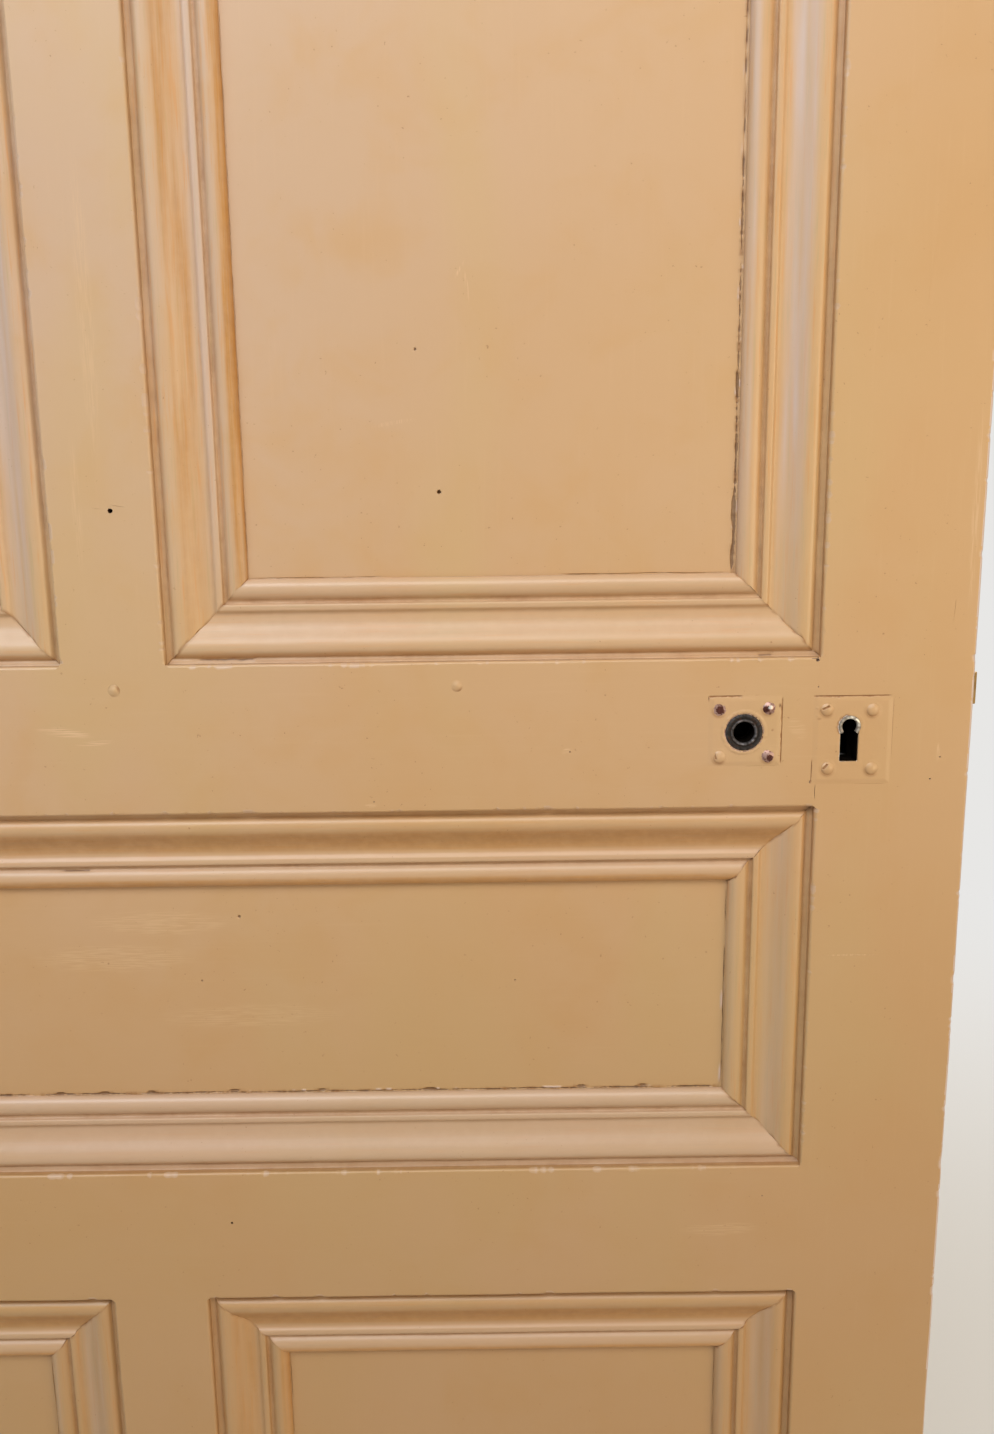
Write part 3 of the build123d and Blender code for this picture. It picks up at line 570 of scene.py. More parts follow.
# scratches and cracks in the paint: their course, width and depth
SCRATCHES = {
    "upper_muntin": (
        (((5.8, 1088.2), (9.0, 1087.7), (13.2, 1087.2)), 0.55, 0.3),
        (((-5.2, 1087.0), (1.6, 1086.2)), 0.4, 0.22),
    ),
    "lock_rail": (
        (((374.7, 936.0), (374.4, 932.0), (374.75, 927.0)), 0.7, 0.8),
    ),
    "lock_stile": (
        (((444.0, 1022.0), (444.6, 1035.0)), 0.35, 0.25),
        (((381.0, 837.2), (399.0, 836.8), (415.0, 837.4)), 0.3, 0.16),
        (((421.0, 1180.0), (424.0, 1213.0)), 0.25, 0.14),
    ),
}

# left, right, front, back, foot and top of the room that the lock and its holes take
LOCK_ROOM = (312, 415, 1.3, 43.5, 925, 990)

for name in MEMBERS:
    piece = merged_copy(name, name + "_painted")
    cut(piece, member_skin(name), "INTERSECT")
    holes = PITS.get(name, ())
    lines = SCRATCHES.get(name, ())
    for x, z, radius, depth in holes:
        cut(piece, pit("pit", x, z, radius, depth))
    for number, (track, width, depth) in enumerate(lines):
        cut(piece, fissure("scratch", track, width, depth, 2.0 + number))

    def near_lock(x, y, z):
        # inside the mortice, the spindle's bore or the keyhole, where old grease and dust lie and painted
        # shade darkens them
        left, right, front, back, foot, top = LOCK_ROOM
        return front < y < back and left < x < right and foot < z < top

    def shade_and_soil(x, y, z):
        # painted shade and old grease in the lock's room; elsewhere handling and dust have browned the edges,
        # but neither face
        if near_lock(x, y, z):
            return 1.0
        return 0.4 if 2.6 < y < 42.0 else 0.0

    def split(x, y, z):
        # dark where a hole or a scratch goes through the paint
        if near_lock(x, y, z):
            return 1.0
        for hx, hz, radius, depth in holes:
            if math.hypot(x - hx, z - hz) < radius * 1.25 and 0.16 + 0.1 * depth < y < depth + 1:
                return min(1.0, 0.35 + y / 1.2)
        for track, width, depth in lines:
            xs, zs = [p[0] for p in track], [p[1] for p in track]
            if min(xs) - 1 < x < max(xs) + 1 and min(zs) - 1 < z < max(zs) + 1 and 0.15 < y < depth + 0.3:
                return min(0.6, 1.3 * depth)
        return 0.0

    def edge_highlight_and_flakes(x, y, z):
        # a painted highlight along the arris of the stile that stands free, and pale paint where the edges
        # have flaked
        if name == "lock_stile" and x > 456.2 and y < 2.2:
            return 0.9
        low, high = EDGES[name][:2]
        along, off = (x, z) if MEMBERS[name][0] == "x" else (z, x)
        edge = low if off - low < high - off else high
        return 0.28 * flake(name, along, edge) if abs(off - edge) < 2.4 and y < 2.6 else 0.0

    tell(piece.data, "pale_sheen_and_wear", edge_highlight_and_flakes)
    tell(piece.data, "grimy_shade", shade_and_soil)
    tell(piece.data, "crack", split)
    soften(piece.data)
    piece.data.materials.clear()
    piece.data.materials.append(level_paint if MEMBERS[name][0] == "x" else upright_paint)
    # the faces inside the lock's room take the near black of painted shade and old grease
    piece.data.materials.append(hole_shade_and_grease)
    for face in piece.data.polygons:
        x, y, z = face.center
        face.material_index = int(near_lock(x / MM - MIDDLE_X, y / MM - FACE_Y, z / MM))
    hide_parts(name)
    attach(piece, "leaf")

# Panels: thin boards held loose in grooves, their grain upright in the tall openings and level
# in the wide one. The paint has torn where panel and moulding part, and a few old pin holes show.

# left, right, foot and top of each opening
OPENINGS = {
    "upper_left": (-STILE_IN, -MUNTIN, LOCK_RAIL_TOP, TOP_RAIL_FOOT),
    "upper_right": (MUNTIN, STILE_IN, LOCK_RAIL_TOP, TOP_RAIL_FOOT),
    "middle": (-STILE_IN, STILE_IN, MIDDLE_RAIL_TOP, LOCK_RAIL_FOOT),
    "lower_left": (-STILE_IN, -MUNTIN, BOTTOM_RAIL_TOP, MIDDLE_RAIL_FOOT),
    "lower_right": (MUNTIN, STILE_IN, BOTTOM_RAIL_TOP, MIDDLE_RAIL_FOOT),
}
PANEL_FACE = 11.0
PANEL_BACK = 26.0
TONGUE = 8.0
# how far the moulding reaches over the panel
REACH = 44.35
# each tear in the paint: which way it runs, where it lies, where it starts and ends, its width and
# depth, and a number that sets its wander
TEARS = {
    "upper_right": (
        ("z", STILE_IN - REACH - 1.3, 1048.7, 1150.0, 2.3, 0.8, 11.0),
        ("z", STILE_IN - REACH - 1.2, 1150.0, 1954.0, 1.7, 0.6, 11.0),
        ("z", STILE_IN - REACH - 2.0, 1050.0, 1065.0, 1.8, 0.8, 51.0),
        ("z", STILE_IN - REACH - 1.9, 1073.0, 1091.0, 2.2, 0.8, 52.0),
        ("z", STILE_IN - REACH - 1.6, 1139.0, 1153.0, 1.5, 0.8, 53.0),
        ("x", LOCK_RAIL_TOP + REACH + 0.2, 72.6, 150.0, 0.45, 0.5, 12.0),
        ("x", LOCK_RAIL_TOP + REACH + 0.3, 236.0, 329.0, 0.7, 0.6, 13.0),
        ("z", MUNTIN + REACH, 1051.0, 1953.0, 0.35, 0.35, 14.0),
    ),
    "upper_left": (
        ("z", -MUNTIN - REACH - 0.4, 1050.0, 1953.0, 0.7, 0.6, 15.0),
        ("x", LOCK_RAIL_TOP + REACH + 0.2, -330.0, -74.0, 0.5, 0.5, 16.0),
    ),
    "middle": (
        ("x", MIDDLE_RAIL_TOP + REACH + 0.4, -329.0, 329.6, 1.7, 0.8, 17.0),
        ("x", MIDDLE_RAIL_TOP + REACH + 1.0, -55.5, -49.5, 1.9, 0.8, 31.0),
        ("x", MIDDLE_RAIL_TOP + REACH + 1.0, -30.0, -23.6, 1.9, 0.8, 32.0),
        ("x", MIDDLE_RAIL_TOP + REACH + 1.1, -2.6, 2.6, 1.9, 0.8, 33.0),
        ("x", MIDDLE_RAIL_TOP + REACH + 1.4, 44.9, 51.7, 1.9, 0.8, 34.0),
        ("x", MIDDLE_RAIL_TOP + REACH + 1.3, 96.4, 101.6, 1.9, 0.8, 35.0),
        ("x", MIDDLE_RAIL_TOP + REACH + 0.9, 157.7, 165.7, 1.9, 0.8, 36.0),
        ("x", MIDDLE_RAIL_TOP + REACH + 1.4, 246.3, 251.9, 1.9, 0.8, 37.0),
        ("x", MIDDLE_RAIL_TOP + REACH + 1.4, 282.6, 287.6, 1.9, 0.8, 38.0),
        ("z", STILE_IN - REACH - 0.4, 754.0, 870.0, 0.8, 0.8, 18.0),
        ("z", -STILE_IN + REACH + 0.3, 754.0, 876.0, 0.5, 0.6, 19.0),
    ),
    "lower_right": (
        ("z", STILE_IN - REACH - 0.3, 256.0, 580.0, 0.6, 0.6, 20.0),
        ("x", BOTTOM_RAIL_TOP + REACH + 0.2, 74.0, 329.0, 0.6, 0.6, 21.0),
        ("z", MUNTIN + REACH + 0.2, 256.0, 580.0, 0.4, 0.5, 22.0),
    ),
    "lower_left": (
        ("z", -MUNTIN - REACH - 0.2, 256.0, 580.0, 0.6, 0.6, 23.0),
        ("x", BOTTOM_RAIL_TOP + REACH + 0.2, -330.0, -74.0, 0.5, 0.6, 24.0),
    ),
}
# each pin hole: place, radius and depth
PIN_HOLES = {
    "upper_right": ((174.3, 1092.8, 1.15, 2.6), (163.6, 1164.7, 0.8, 0.9)),
    "middle": ((56.8, 859.9, 1.0, 0.9), (33.7, 821.9, 0.7, 0.6), (211.5, 819.9, 0.6, 0.5)),
}


def tear_depth(tear, x, z):
    # how deep and how far into a tear a point of the panel lies
    way, at, start, end, width, depth, seed = tear
    s, across = (x, z - at) if way == "x" else (z, x - at)
    inside = min(s - start, end - s)
    if inside < 0 or abs(across) > 2.4:
        return 0.0
    across -= 0.35 * wave(s / 23, seed) + 0.15 * wave(s / 5, seed + 2)
    across -= 0.25 * wave(s / 1.7, seed + 3)
    gape = 0.45 + 0.75 * wave(s / 19, seed + 4) + 0.55 * wave(s / 4.5, seed + 6)
    gape += 0.5 * wave(s / 1.5, seed + 9)
    if end - start < 20:
        # a small place where the paint has come away
        gape = 1.2
    gape = max(0.0, min(1.4, gape)) * min(1.0, inside / min(6.0, (end - start) / 4))
    half = 0.02 + gape * width / 2
    share = max(0.0, 1 - (across / half) ** 2)
    return depth * share * min(1.0, gape * 2)


def lifted(tear, x, z):
    # how far the paint beside a tear has curled up and shows its pale underside
    way, at, start, end, width, depth, seed = tear
    s, across = (x, z - at) if way == "x" else (z, x - at)
    inside = min(s - start, end - s)
    if inside < 0 or abs(across) > 3.2 or width < 0.8:
        return 0.0
    across -= 0.35 * wave(s / 23, seed) + 0.15 * wave(s / 5, seed + 2)
    curl = ease((wave(s / 16, seed + 11) + 0.5 * wave(s / 3.5, seed + 12) - 0.12) / 0.25)
    side = 1 if wave(s / 30, seed + 13) > 0 else -1
    return curl * ease(1.25 - abs(across * side - 0.95) / 0.75) * ease(inside / 4)


def tear_dust_and_shade(tear, x, z):
    # how much dust has caught in the rough paint beside a tear, with a band of painted shade there
    way, at, start, end, width, depth, seed = tear
    s, across = (x, z - at) if way == "x" else (z, x - at)
    if width < 0.9 or not start - 2 < s < end + 2:
        return 0.0
    caught = 0.35 + 1.1 * wave(s / 8, seed + 15) + 0.7 * wave(s / 2, seed + 16)
    return 0.8 * ease(1.15 - abs(across) / 1.7) * ease(caught)


def hole_depth(holes, x, z):
    # how deep a point of the panel lies in a pin hole, with the paint pushed up a little round it
    deep = 0.0
    for hx, hz, radius, depth in holes:
        away = math.hypot(x - hx, z - hz)
        if away < 4 * radius:
            share = away / radius * (1 + 0.25 * wave(x * 1.3, z * 1.3, 2.0))
            deep = max(deep, depth * max(0.0, 1 - share ** 3))
            deep -= 0.06 * max(0.0, 1 - abs(share - 1.5) / 0.6)
    return deep


def marks(low, high, pitch, fine):
    # places along one side of a grid: even steps, with close ones round each fine place
    count = int((high - low) / pitch)
    places = {low + (high - low) * i / count for i in range(count + 1)}
    for at, reach, step in fine:
        if low < at < high:
            n = int(reach / step)
            places = {p for p in places if abs(p - at) > reach or p in (low, high)}
            places |= {at + i * step for i in range(-n, n + 1) if low < at + i * step < high}
    return sorted(places)


def slab_mesh(name, xs, zs, points, back_y):
    # a closed board: its face a grid of points over xs and zs, its back flat
    wide = len(xs)
    faces = []
    for j in range(len(zs) - 1):
        for i in range(wide - 1):
            a = j * wide + i
            faces.append((a, a + 1, a + wide + 1, a + wide))
    last = (len(zs) - 1) * wide
    rim = list(range(wide))
    rim += [j * wide + wide - 1 for j in range(1, len(zs))]
    rim += [last + i for i in range(wide - 2, -1, -1)]
    rim += [j * wide for j in range(len(zs) - 2, 0, -1)]
    points = points + [Vector((points[i].x, spot(0, back_y, 0).y, points[i].z)) for i in rim]
    start = wide * len(zs)
    for k in range(len(rim)):
        m = (k + 1) % len(rim)
        faces.append((rim[k], start + k, start + m, rim[m]))
    faces.append(tuple(range(start, start + len(rim))))
    made = mesh_object(name, points, faces)
    outwards(made.data)
    return made


def dab(mesh, told):
    # named numbers on the mesh's points; the points that a list doesn't reach get 0
    for name, values in told.items():
        rest = [0.0] * (len(mesh.vertices) - len(values))
        mesh.attributes.new(name, "FLOAT", "POINT").data.foreach_set("value", list(values) + rest)


def shade(mesh, degrees):
    # smooth, but for the edges that turn more than this
    mesh.shade_smooth()
    mesh.set_sharp_from_angle(angle=math.radians(degrees))


def panel_mesh(name):
    # a panel's board with its tongues, its paint torn along the moulding and pricked by pin holes
    x0, x1, z0, z1 = OPENINGS[name]
    x0, x1, z0, z1 = x0 - TONGUE, x1 + TONGUE, z0 - TONGUE, z1 + TONGUE
    tears, holes = TEARS[name], PIN_HOLES.get(name, ())
    upright = [(t[1], 1.6, 0.16) for t in tears if t[0] == "z"]
    level = [(t[1], 1.6, 0.16) for t in tears if t[0] == "x"]
    upright += [(h[0], 2 * h[2], h[2] / 4) for h in holes]
    level += [(h[1], 2 * h[2], h[2] / 4) for h in holes]
    # close steps along the tears that the paint has opened most
    if name == "upper_right":
        level.insert(0, (1150.0, 100.0, 0.9))
    if name == "middle":
        upright.insert(0, (120.0, 209.0, 0.9))
    xs = marks(x0 + 0.02, x1 - 0.02, 4.5 if level else 9.0, upright)
    zs = marks(z0 + 0.02, z1 - 0.02, 4.5 if upright else 9.0, level)
    points, deeps, curls, dust_and_shade_values = [], [], [], []
    for z in zs:
        for x in xs:
            deep = max([tear_depth(t, x, z) for t in tears])
            hole = hole_depth(holes, x, z)
            deep = deep if deep > hole else hole
            curl = max([lifted(t, x, z) for t in tears]) * (0.0 if deep > 0.1 else 1.0)
            surface = PANEL_FACE + 0.08 + 1.5 * lump(x * 0.8, z * 0.8)
            points.append(spot(x, surface + deep - 0.35 * curl, z))
            deeps.append(deep)
            curls.append(0.8 * curl)
            dust_and_shade_values.append(max([tear_dust_and_shade(t, x, z) for t in tears]) * (1 - curl))
    made = slab_mesh(name + "_panel_board", xs, zs, points, PANEL_BACK - 0.02)
    split = [min(0.55, deep / 0.6) for deep in deeps]
    dab(made.data, {"crack": split, "pale_sheen_and_wear": curls, "grimy_shade": dust_and_shade_values})
    return made


panel_paint = {
    "upright": painted("upright_panel_paint", "z", scuffs=(
        (190.6, 1195.0, 8.5, 0.9, 98.0, 1.0), (187.0, 1203.0, 6.0, 0.8, 60.0, 0.8),
        (150.0, 1128.0, 14.0, 1.4, 10.0, 0.5),
    )),
    "level": painted("level_panel_paint", "x", scuffs=(
        (12.0, 857.0, 46.0, 9.0, 0.0, 0.36), (-15.0, 836.0, 52.0, 10.0, 0.0, 0.3),
        (60.0, 800.0, 60.0, 9.0, 1.0, 0.22),
    )),
}

for name in OPENINGS:
    piece = panel_mesh(name)
    shade(piece.data, 50.0)
    piece.data.materials.append(panel_paint["level" if name == "middle" else "upright"])
    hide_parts(name + "_panel")
    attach(piece, "leaf")

# Panel mouldings: four strips round each panel, run with one plane, mitred at the corners and
# pinned into the openings. Paint softens their lines; dirt and painted shade lie in the quirks.

# (distance from the opening's edge, depth behind the face, dirt and painted shade)
MOULDING = (
    (0.02, 10.98, 0.9), (0.02, 4.5, 0.85), (0.35, 4.75, 0.75), (1.1, 4.92, 0.55), (2.1, 5.1, 0.6),
    (2.7, 5.5, 0.85), (3.15, 5.45, 0.8), (3.7, 4.8, 0.35), (4.4, 3.9, 0.1), (5.2, 3.15, 0.0),
    (6.1, 2.55, 0.0), (7.2, 2.25, 0.0), (8.5, 2.2, 0.0), (9.9, 2.42, 0.0), (11.4, 2.95, 0.0),
    (13.0, 3.8, 0.0), (14.8, 5.0, 0.0), (16.8, 6.4, 0.0), (18.9, 7.6, 0.0), (21.1, 8.4, 0.0),
    (23.2, 8.8, 0.05), (24.6, 8.95, 0.1), (25.7, 8.88, 0.3), (26.5, 8.55, 0.3), (27.2, 7.85, 0.1),
    (27.7, 7.4, 0.0), (28.3, 7.22, 0.0), (29.5, 7.18, 0.0), (30.4, 7.22, 0.0), (30.85, 7.5, 0.2),
    (31.0, 8.3, 0.65), (31.25, 9.0, 0.95), (31.8, 9.35, 1.0), (32.8, 9.35, 1.0), (33.4, 9.1, 0.85),
    (33.8, 8.55, 0.5), (34.5, 7.85, 0.15), (35.5, 7.15, 0.0), (36.9, 6.6, 0.0), (38.6, 6.37, 0.0),
    (40.3, 6.57, 0.0), (41.7, 7.15, 0.0), (42.9, 8.15, 0.0), (43.7, 9.35, 0.1), (44.1, 10.3, 0.35),
    (44.2, 10.8, 0.6), (44.2, 10.98, 0.6),
)
MITRE_GAP = 0.015
MITRE_STEPS = (0.8, 2, 5)
# cracks in the paint of a strip: from, to, distance from the opening's edge, half width, depth
QUIRK_CRACKS = {
    "upper_right_moulding_bottom": ((43.8, 76.0, 1.9, 0.75, 0.5), (341.0, 352.0, 1.0, 0.9, 0.5)),
    "middle_moulding_top": ((-39.3, -21.7, 33.6, 0.6, 0.4),),
}
# how much dirt and painted shade lie in the quirks of the strips on each side
QUIRK_SHADE_AND_DIRT = {"top": 0.3, "bottom": 0.4, "left": 0.46, "right": 0.42}


def strip_mesh(node, side, rect):
    # one strip of moulding, mitred at both ends, with its dirt, its cracks, and painted sheen, warm light and
    # shade on its faces as they turn
    x0, x1, z0, z1 = rect
    level = side in ("top", "bottom")
    long = (x1 - x0) if level else (z1 - z0)
    start = x0 if level else z0
    corners = {
        "top": ((x0, z1), (x1, z1)), "bottom": ((x0, z0), (x1, z0)),
        "left": ((x0, z0), (x0, z1)), "right": ((x1, z0), (x1, z1)),
    }[side]
    seed = {"top": 1.0, "bottom": 4.0, "left": 7.0, "right": 9.5}[side] + x0 * 0.011 + z0 * 0.007
    count = int(long / 9)
    shares = {i / count for i in range(count + 1)}
    shares |= {a / long for a in MITRE_STEPS} | {1 - a / long for a in MITRE_STEPS}
    cracks = QUIRK_CRACKS.get(node, ())
    for first, last, *_ in cracks:
        steps = int((last - first) / 1.1)
        shares |= {(first + (last - first) * i / steps - start) / long for i in range(-1, steps + 2)}
    shares = sorted(shares)
    rings, dirt_shade_values, pale, ochre, torn = [], [], [], [], []
    for t in shares:
        ring = []
        for index, (u, y, shade_and_soil) in enumerate(MOULDING):
            ends = []
            for which, (cx, cz) in enumerate(corners):
                stray = 1.3 * wave(u / 4.2, cx * 0.13, cz * 0.17) + 0.5 * wave(u / 1.3, cx * 0.7, cz)
                if not level:
                    stray *= 1 if (side == "right") == (which == 0) else -1
                gap = MITRE_GAP * (1 + 10 * ease(2.4 * wave(u / 6, cx * 0.11 + 3, cz * 0.05)))
                ends.append(start + u + gap + stray if which == 0 else start + long - u - gap + stray)
            s = ends[0] + (ends[1] - ends[0]) * t
            seen = 1 < index < len(MOULDING) - 2
            if seen:
                y = y + 0.13 * wave(s / 90, u / 12, seed) + 0.05 * wave(s / 17, u / 5, seed + 2)
                u = u + 0.10 * wave(s / 70, seed + 5) * (1 if u < 43 else 0)
            split = 0.0
            for first, last, at, half, depth in cracks:
                ends = min(s - first, last - s) / 2.5 + 0.6 * wave(s / 2.3, at)
                split = max(split, ease(ends) * ease(1.5 - abs(u - at - 0.4 * wave(s / 5, at)) / half))
                y += depth * split
            torn.append(0.55 * split)
            place = {
                "bottom": (s, y, z0 + u), "top": (s, y, z1 - u),
                "left": (x0 + u, y, s), "right": (x1 - u, y, s),
            }[side]
            ring.append(spot(*place))
            blotchy = 0.95 + 0.7 * wave(s / 25, u / 4, seed + 7) + 0.5 * wave(s / 7, u / 3, seed + 8)
            dirt_shade_values.append(QUIRK_SHADE_AND_DIRT[side] * shade_and_soil * blotchy)
            near_end = ease(1.1 - min(t, 1 - t) * long / 1.6)
            mitre = near_end * ease(0.35 + 1.5 * wave(u / 2.6, seed + (3 if t > 0.5 else 8)))
            dirt_shade_values[-1] = max(dirt_shade_values[-1], 0.8 * mitre)
            # painted light by the way each face of the profile turns: sheen on the right strips' left-facing
            # slopes, on the bottom strips and higher up the door; warm light and shade on the left strips'
            # right-facing slopes and the top strips' down-facing ones
            slope = ease((u - 10) / 4) * (1 - ease((u - 22) / 3))
            inner = ease((u - 38) / 2)
            above = ease((place[2] - 990) / 190)
            streak = 0.8 + 0.9 * wave(s / 60, u / 1.6, seed + 9)
            fillet = ease((u - 26) / 1.5) * (1 - ease((u - 30.5) / 1.5))
            # painted sheen and highlights, side by side
            pale.append({
                "right": (0.7 * slope + 0.5 * inner) * streak * (0.25 + 0.75 * above),
                "bottom": 0.34 - 0.22 * ease((place[2] - 900) / 80) + 0.08 * inner,
                "left": 0.5 * fillet * above, "top": 0.22 * ease((u - 23) / 4),
            }[side])
            # painted warm light, side by side
            ochre.append({
                "left": (0.7 * slope + 1.2 * inner) * streak * (0.5 + 0.5 * above),
                "top": 0.5 * slope + 0.8 * inner, "right": 0.0, "bottom": 0.0,
            }[side])
            # more painted shade and dirt on the slopes, side by side
            dirt_shade_values[-1] += {
                "top": 0.36 * slope + 0.25 * inner, "bottom": 0.12 * slope,
                "left": 0.4 * inner * ease(streak - 0.3) + 0.28 * slope * ease(streak - 0.3),
            }.get(side, 0.0)
        rings.append(ring)
    made = loft(node + "_run", rings)
    told = {"grimy_shade": dirt_shade_values, "pale_sheen_and_wear": pale, "warm_light_streaks": ochre, "crack": torn}
    dab(made.data, {mark: [max(0.0, min(1.0, v)) for v in values] for mark, values in told.items()})
    return made


strip_paint = {
    "top": painted("level_strip_paint", "x", streaked=0.3),
    "left": painted("upright_strip_paint", "z", streaked=0.5),
}
strip_paint["bottom"], strip_paint["right"] = strip_paint["top"], strip_paint["left"]

for name, rect in OPENINGS.items():
    for side in ("top", "bottom", "left", "right"):
        node = name + "_moulding_" + side
        piece = strip_mesh(node, side, rect)
        shade(piece.data, 62.0)
        piece.data.materials.append(strip_paint[side])
        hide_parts(node)
        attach(piece, "leaf")

# Peg through the upper muntin's tenon, a nail in the lock rail and the wedges in the stiles'
# edges: peg and nail are painted over with the door, so that only low round heads show. The
# wedges show their bare end grain, where fitting the door planed the edges.

# node: place, head's radius and rise, length, and the side of the painted shade on the head, in degrees from
# the right
PEGS = {
    "muntin_peg": (0.0, 991.3, 3.19, 0.84, 35.9, 25.0),
    "rail_nail": (182.0, 991.6, 3.19, 0.80, 37.9, -60.0),
}


def pegged(name, x, z, radius, rise, foot, shaded_side):
    # a head swollen with paint that dies away into the rail, and its straight shank
    profile = [(radius * i / 9, 0.05 - rise * (1 - ease(i / 9))) for i in range(1, 10)]
    profile += [(radius, 1.2), (radius * 0.7, 1.3), (radius * 0.7, foot)]
    profile[8] = (radius, lump(x, z) - 0.01)
    rings, dirt_shade_values = [], []
    for r, y in profile:
        ring = []
        for i in range(32):
            t = i * math.pi / 16
            uneven = 0.12 * wave(math.cos(t) * 1.4, math.sin(t) * 1.4, x * 0.1)
            r_here = r * (1 + uneven) if r < 0.95 * radius else r
            ring.append(spot(x + r_here * math.cos(t), y, z + r_here * math.sin(t)))
            # painted shade: a dark crescent on the head's rim, towards the given side and downwards
            side = max(0.0, math.cos(t - math.radians(shaded_side)), 0.8 * math.cos(t + math.radians(105)))
            dirt_shade_values.append(0.7 * side ** 3 * ease((r / radius - 0.5) / 0.3) if y < 0.5 else 0.0)
        rings.append(ring)
    made = loft(name + "_head", rings)
    dab(made.data, {"grimy_shade": dirt_shade_values})
    return made


for name, sizes in PEGS.items():
    piece = pegged(name, *sizes)
    shade(piece.data, 60.0)
    piece.data.materials.append(level_paint)
    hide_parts(name)
    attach(piece, "leaf")
    "painted_wood" if name == "muntin_peg" else "painted_iron"


def end_grain():
    # the wedges' sawn ends: pores, and two tones of old softwood
    finish = Finish("end_grain")
    flat = finish.place(scale=(1, 40, 6))
    pores = finish.cloud(flat, 60.0, 4.0, 0.65)
    tone = finish.cloud(finish.place(), 30.0, 3.0, 0.5)
    colour = finish.mix(tone.step(0.35, 0.7), srgb(176, 138, 92), srgb(150, 112, 70))
    finish.give("Base Color", finish.mix(pores.step(0.5, 0.8) * 0.6, colour, srgb(96, 66, 38)))
    finish.give("Roughness", 0.7 + pores * 0.15)
    finish.give("Normal", finish.bump(pores, 0.3, 0.0002))
    return finish.material


nodes["tenon_wedges"].data.materials.clear()
nodes["tenon_wedges"].data.materials.append(end_grain())

# Mortice lock: an iron case and cap, brass forend and bolts, a cast follower and steel springs.
# It slides into the stile's edge and two wood screws hold its forend.

# the middle of the keyhole's round
KEY = (391.9, 967.0)


def metal(name, base, dark, metallic, rough, scale=120.0, greasy_and_shaded=False, specular=0.5):
    # old metal, dulled in patches
    finish = Finish(name)
    flat = finish.place()
    patch = finish.cloud(flat, scale, 4.0, 0.6, 0.5)
    fine = finish.cloud(flat, scale * 7, 3.0, 0.6)
    finish.shader.inputs["Specular IOR Level"].default_value = specular
    colour = finish.mix(patch.step(0.4, 0.7), base, dark)
    shine = patch.step(0.4, 0.7, metallic, metallic * 0.45)
    if greasy_and_shaded:
        # old grease and painted shade round the keyhole, where the lock lies in the dark
        at = spot(KEY[0], 0, KEY[1])
        across, _, height = finish.parts(finish.node("ShaderNodeTexCoord", out="Object"))
        away = ((across - at.x) * (across - at.x) + (height - at.z) * (height - at.z)).power(0.5)
        grease_and_shade = away.step(0.024, 0.032, 1.0, 0.0)
        colour = finish.mix(grease_and_shade, colour, srgb(24, 19, 14))
        shine = shine * (1 - grease_and_shade)
    finish.give("Base Color", colour)
    finish.give("Metallic", shine)
    finish.give("Roughness", rough + fine * 0.15 + patch.step(0.4, 0.7) * 0.2)
    finish.give("Normal", finish.bump(fine + patch * 0.6, 0.4, 0.0003))
    return finish.material


# the follower's brass is near black: painted shade deep in the spindle's hole, over old grease
finishes = {
    "lock_iron": metal(
        "lock_iron", srgb(52, 47, 43), srgb(66, 42, 29), 0.6, 0.55, greasy_and_shaded=True, specular=0.0
    ),
    "lock_brass": metal(
        "lock_brass", srgb(172, 136, 78), srgb(140, 108, 60), 1.0, 0.34, 45.0, greasy_and_shaded=True, specular=0.12
    ),
    "shaded_greasy_brass": metal("shaded_greasy_brass", srgb(20, 17, 14), srgb(13, 11, 9), 0.0, 0.8, specular=0.0),
    "bright_steel": metal("bright_steel", srgb(150, 146, 142), srgb(96, 78, 66), 1.0, 0.34),
}
lock_finish = {
    "lock_case": "lock_iron", "lock_cap": "lock_iron", "lock_cap_screws": "bright_steel",
    "forend": "lock_brass", "forend_screws": "bright_steel", "latch_bolt": "lock_brass",
    "latch_spring": "bright_steel", "follower": "shaded_greasy_brass", "dead_bolt": "lock_brass",
    "bolt_spring": "bright_steel",
}
for name, kind in lock_finish.items():
    nodes[name].data.materials.clear()
    nodes[name].data.materials.append(finishes[kind])

# Knob plate and key plate: thin iron plates let into the rail and the stile until nearly flush.
# Paint bridges their edges. It has cracked open along the tops and down the knob plate's right.

PLATE_FACE = -0.4
PLATE_BACK = 1.2
# the spindle's middle, the bush's radius, and the keyhole's round, half width and foot
SPINDLE = (335.3, 964.5)
BUSH_R = 10.2
ROUND_R = 5.95
SLOT_HALF = 5.0
SLOT_FOOT = 947.7
# how far through the plate the shapes of its holes reach
HOLE_ENDS = (-3, 3)
